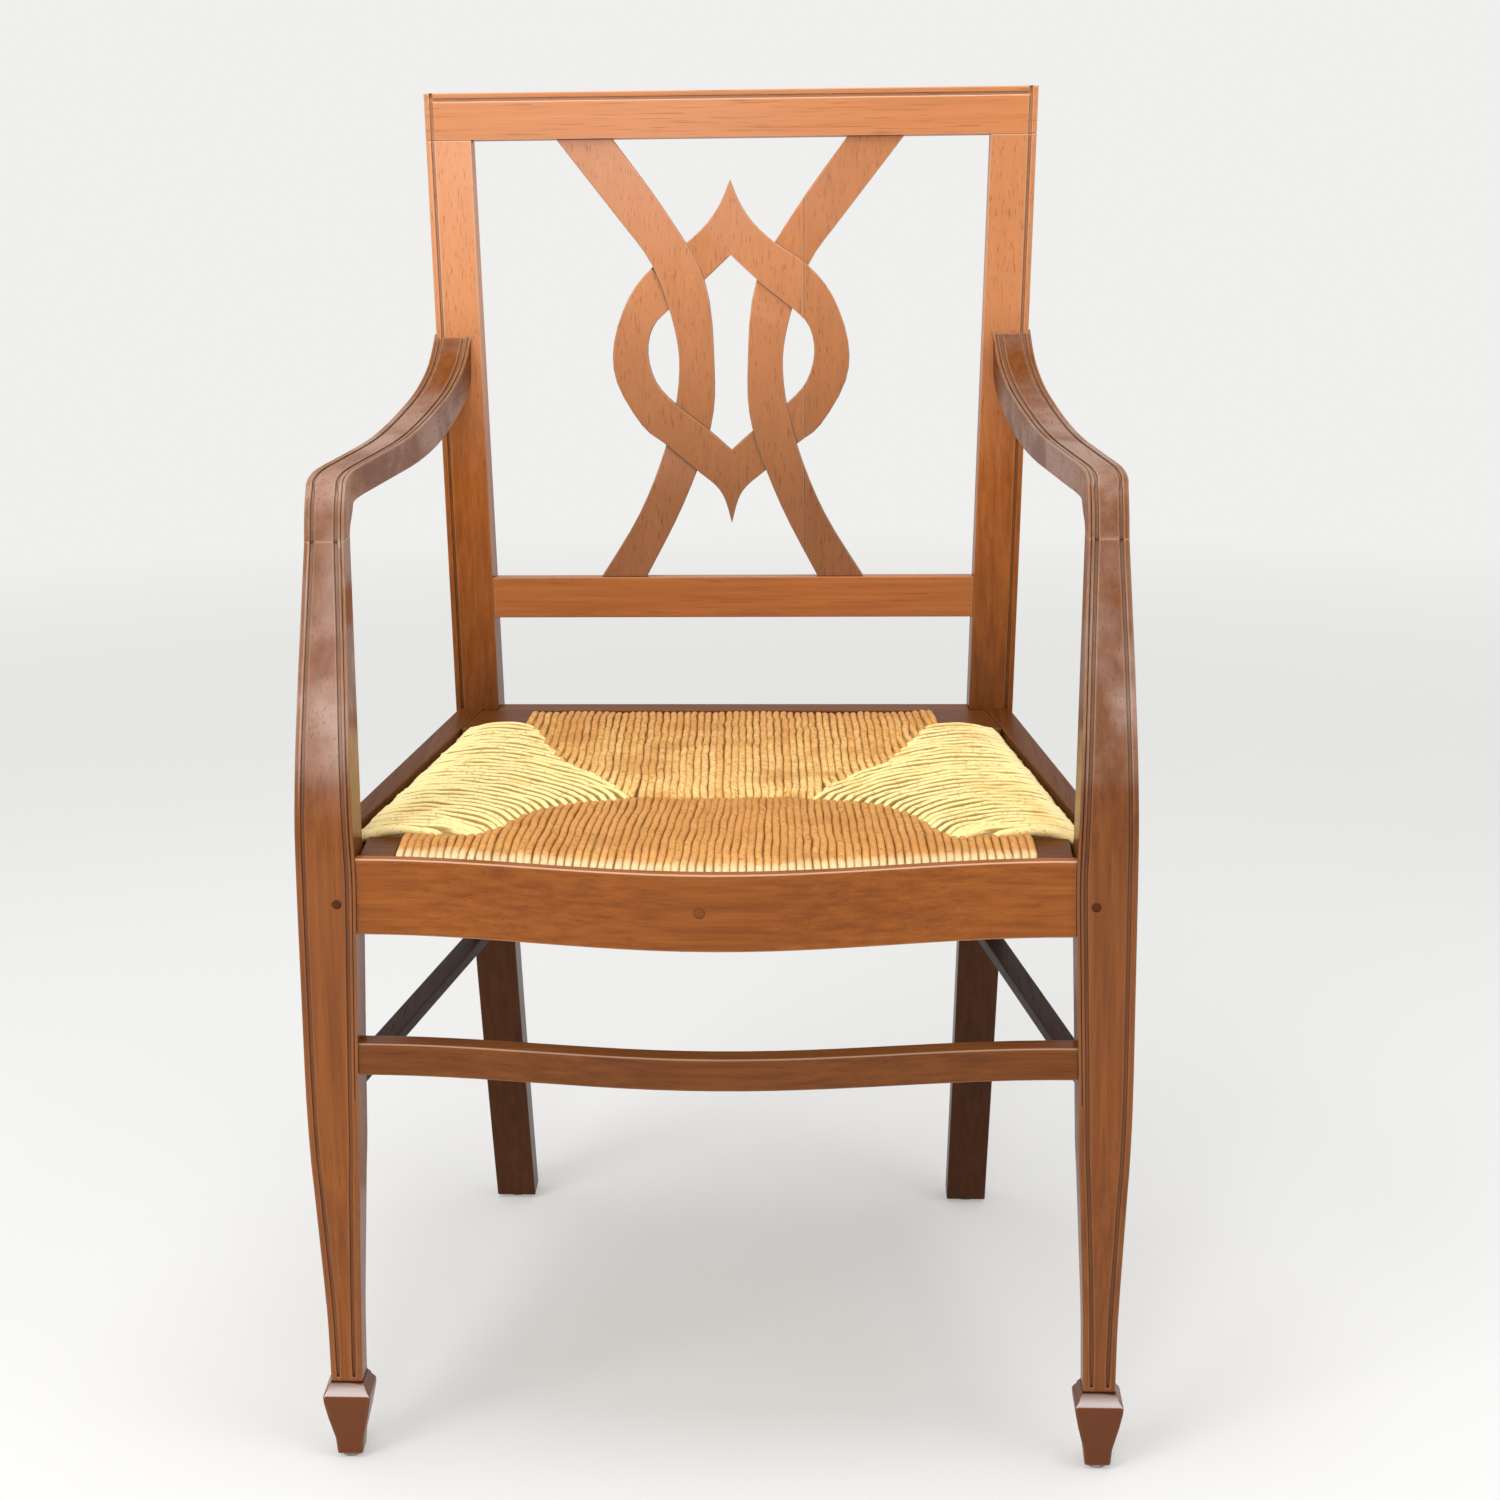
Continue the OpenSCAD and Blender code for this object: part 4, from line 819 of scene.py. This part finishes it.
frontSize = {
    "across": 0,
    "inset": 0.0,
    "cords": 78,
    "radius": 0.00295,
    "seamThickness": 0.95,
    "crown": 0.0040,
    "seamLift": 0.0006,
    "seamDrop": 0.0030,
    "seamGap": lambda start: 0.001,
    "lipRun": 0,
    "lipTurn": 0.75,
    "spill": 0.001,
    "leanPower": 1.0,
    "lean": lambda start: -0.010 * math.tanh((start - 0.03) / 0.06),
    "tipBend": lambda start: 0.0,
}
backSize = {
    "across": 0,
    "inset": 0.0,
    "cords": 58,
    "radius": 0.00285,
    "seamThickness": 1.14,
    "crown": 0.0048,
    "seamLift": 0.0024,
    "seamDrop": 0.0045,
    "seamGap": lambda start: 0.004 if abs(start) > corner else 0.001,
    "lipRun": 0.012,
    "lipTurn": 0.1,
    "spill": 0.003,
    "leanPower": 1.0,
    "lean": lambda start: 0.007,
    "tipBend": lambda start: 0.003 * math.tanh(start / 0.01) if abs(start) > corner else 0.0,
}
panels = {
    # side, its node, look, sizes and which way its cords run inward
    "Front": ("rush_front", frontLook, {**frontSize, "inward": 1}),
    "Back": ("rush_back", backLook, {**backSize, "inward": -1}),
    "Left": ("rush_left", sideLook, {**sideSize, "inward": 1}),
    "Right": ("rush_right", {**sideLook, "patchFrom": 0.47, "patchShare": 0.6}, {**sideSize, "inward": -1}),
}
cords = cordTree()
straw = strawFinish()
for seed, (side, (node, look, size)) in enumerate(panels.items()):
    routes = Panel(node, size).routes()
    piece = cordPiece("rushCords" + side, routes, cords, {
        "Radius Change": cordLook["radiusChange"], "Wobble": cordLook["wobble"], "Step": cordLook["step"],
        "Sides": cordLook["sides"], "Seed": seed, "Material": rushFinish("rush" + side, look),
    })
    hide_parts(node)
    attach(piece, bodyOf[node])
    stuffing = stuffingPiece("rushStuffing" + side, routes)
    stuffing.data.materials.append(straw)
    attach(stuffing, bodyOf[node])
    print("rush", side, len(routes), "cords,", len(piece.data.polygons), "faces")

# Stage and light

stageLook = {
    "floor": (0.84, 0.835, 0.82),
    "seen": (0.87, 0.865, 0.85),  # what the camera and reflections see of the floor and the air
    "shadowShare": 0.65,
    "farFrom": 1.6,
    "farTo": 3.2,
    "halfFloor": 60,
    "air": (0.96, 0.98, 1.0),
    "airStrength": 0.43,
}


def seenRay(maker):
    path = maker.tree.nodes.new("ShaderNodeLightPath")
    camera, glossy, clear = (Socket(maker, path.outputs[title]) for title in
                             ("Is Camera Ray", "Is Glossy Ray", "Is Transmission Ray"))
    return camera.maths("MAXIMUM", camera, camera.maths("MAXIMUM", glossy, clear))


def paleFloor():
    floor = Finish("paleFloor")
    floor.set(Base_Color=(*stageLook["floor"], 1), Roughness=0.9)
    place = floor.node("ShaderNodeTexCoord", out="Object")
    away = floor.node("ShaderNodeVectorMath", {"operation": "LENGTH"}, {0: place}, out="Value")
    far = floor.spread(away, stageLook["farFrom"], stageLook["farTo"])
    glow = floor.node("ShaderNodeEmission", None, {"Color": (*stageLook["seen"], 1), "Strength": 1.0})
    share = (1 - stageLook["shadowShare"]) + far * stageLook["shadowShare"]
    mixed = floor.node("ShaderNodeMixShader", None, {0: seenRay(floor) * share,
                                                     1: Socket(floor, floor.shader.outputs[0]), 2: glow})
    floor.feed(floor.tree.nodes["Material Output"].inputs["Surface"], mixed)
    mesh = bpy.data.meshes.new("floor")
    half = stageLook["halfFloor"]
    corners = [(-half, -half, 0), (half, -half, 0), (half, half, 0), (-half, half, 0)]
    mesh.from_pydata(corners, [], [(0, 1, 2, 3)])
    mesh.materials.append(floor.material)
    piece = bpy.data.objects.new("floor", mesh)
    bpy.context.scene.collection.objects.link(piece)


def softLamp(name, place, aim, size, watts, tint=(1, 1, 1)):
    data = bpy.data.lights.new(name, "AREA")
    data.shape = "RECTANGLE"
    data.size, data.size_y = size
    data.energy = watts
    data.color = tint
    lamp = bpy.data.objects.new(name, data)
    lamp.location = place
    lamp.rotation_euler = (Vector(aim) - Vector(place)).to_track_quat("-Z", "Y").to_euler()
    bpy.context.scene.collection.objects.link(lamp)


def paleWorld():
    world = bpy.data.worlds.new("paleWorld")
    world.use_nodes = True
    maker = NodeMaker(world.node_tree)
    air = maker.tree.nodes["Background"]
    maker.feed(air.inputs["Color"], (*stageLook["air"], 1))
    maker.feed(air.inputs["Strength"], stageLook["airStrength"])
    seen = maker.node("ShaderNodeBackground", None, {"Color": (*stageLook["seen"], 1), "Strength": 1.0})
    mixed = maker.node("ShaderNodeMixShader", None,
                       {0: seenRay(maker), 1: Socket(maker, air.outputs[0]), 2: seen})
    maker.feed(maker.tree.nodes["World Output"].inputs["Surface"], mixed)
    bpy.context.scene.world = world


paleFloor()
middle = (0, 0, 0.5)
softLamp("keyLamp", (-2.0, -2.6, 2.8), middle, (1.6, 1.6), 54)
softLamp("fillLamp", (2.8, -1.8, 1.7), middle, (2.0, 2.0), 20)
softLamp("topLamp", (0.0, -0.5, 3.3), middle, (2.6, 2.0), 70)
softLamp("glintLamp", (-0.4, -3.7, 1.75), middle, (0.8, 0.8), 29)  # mirrored by the round fronts
paleWorld()
bpy.context.scene.view_settings.view_transform = "Standard"
print("stage and light ready")

bpy.context.view_layer.update()
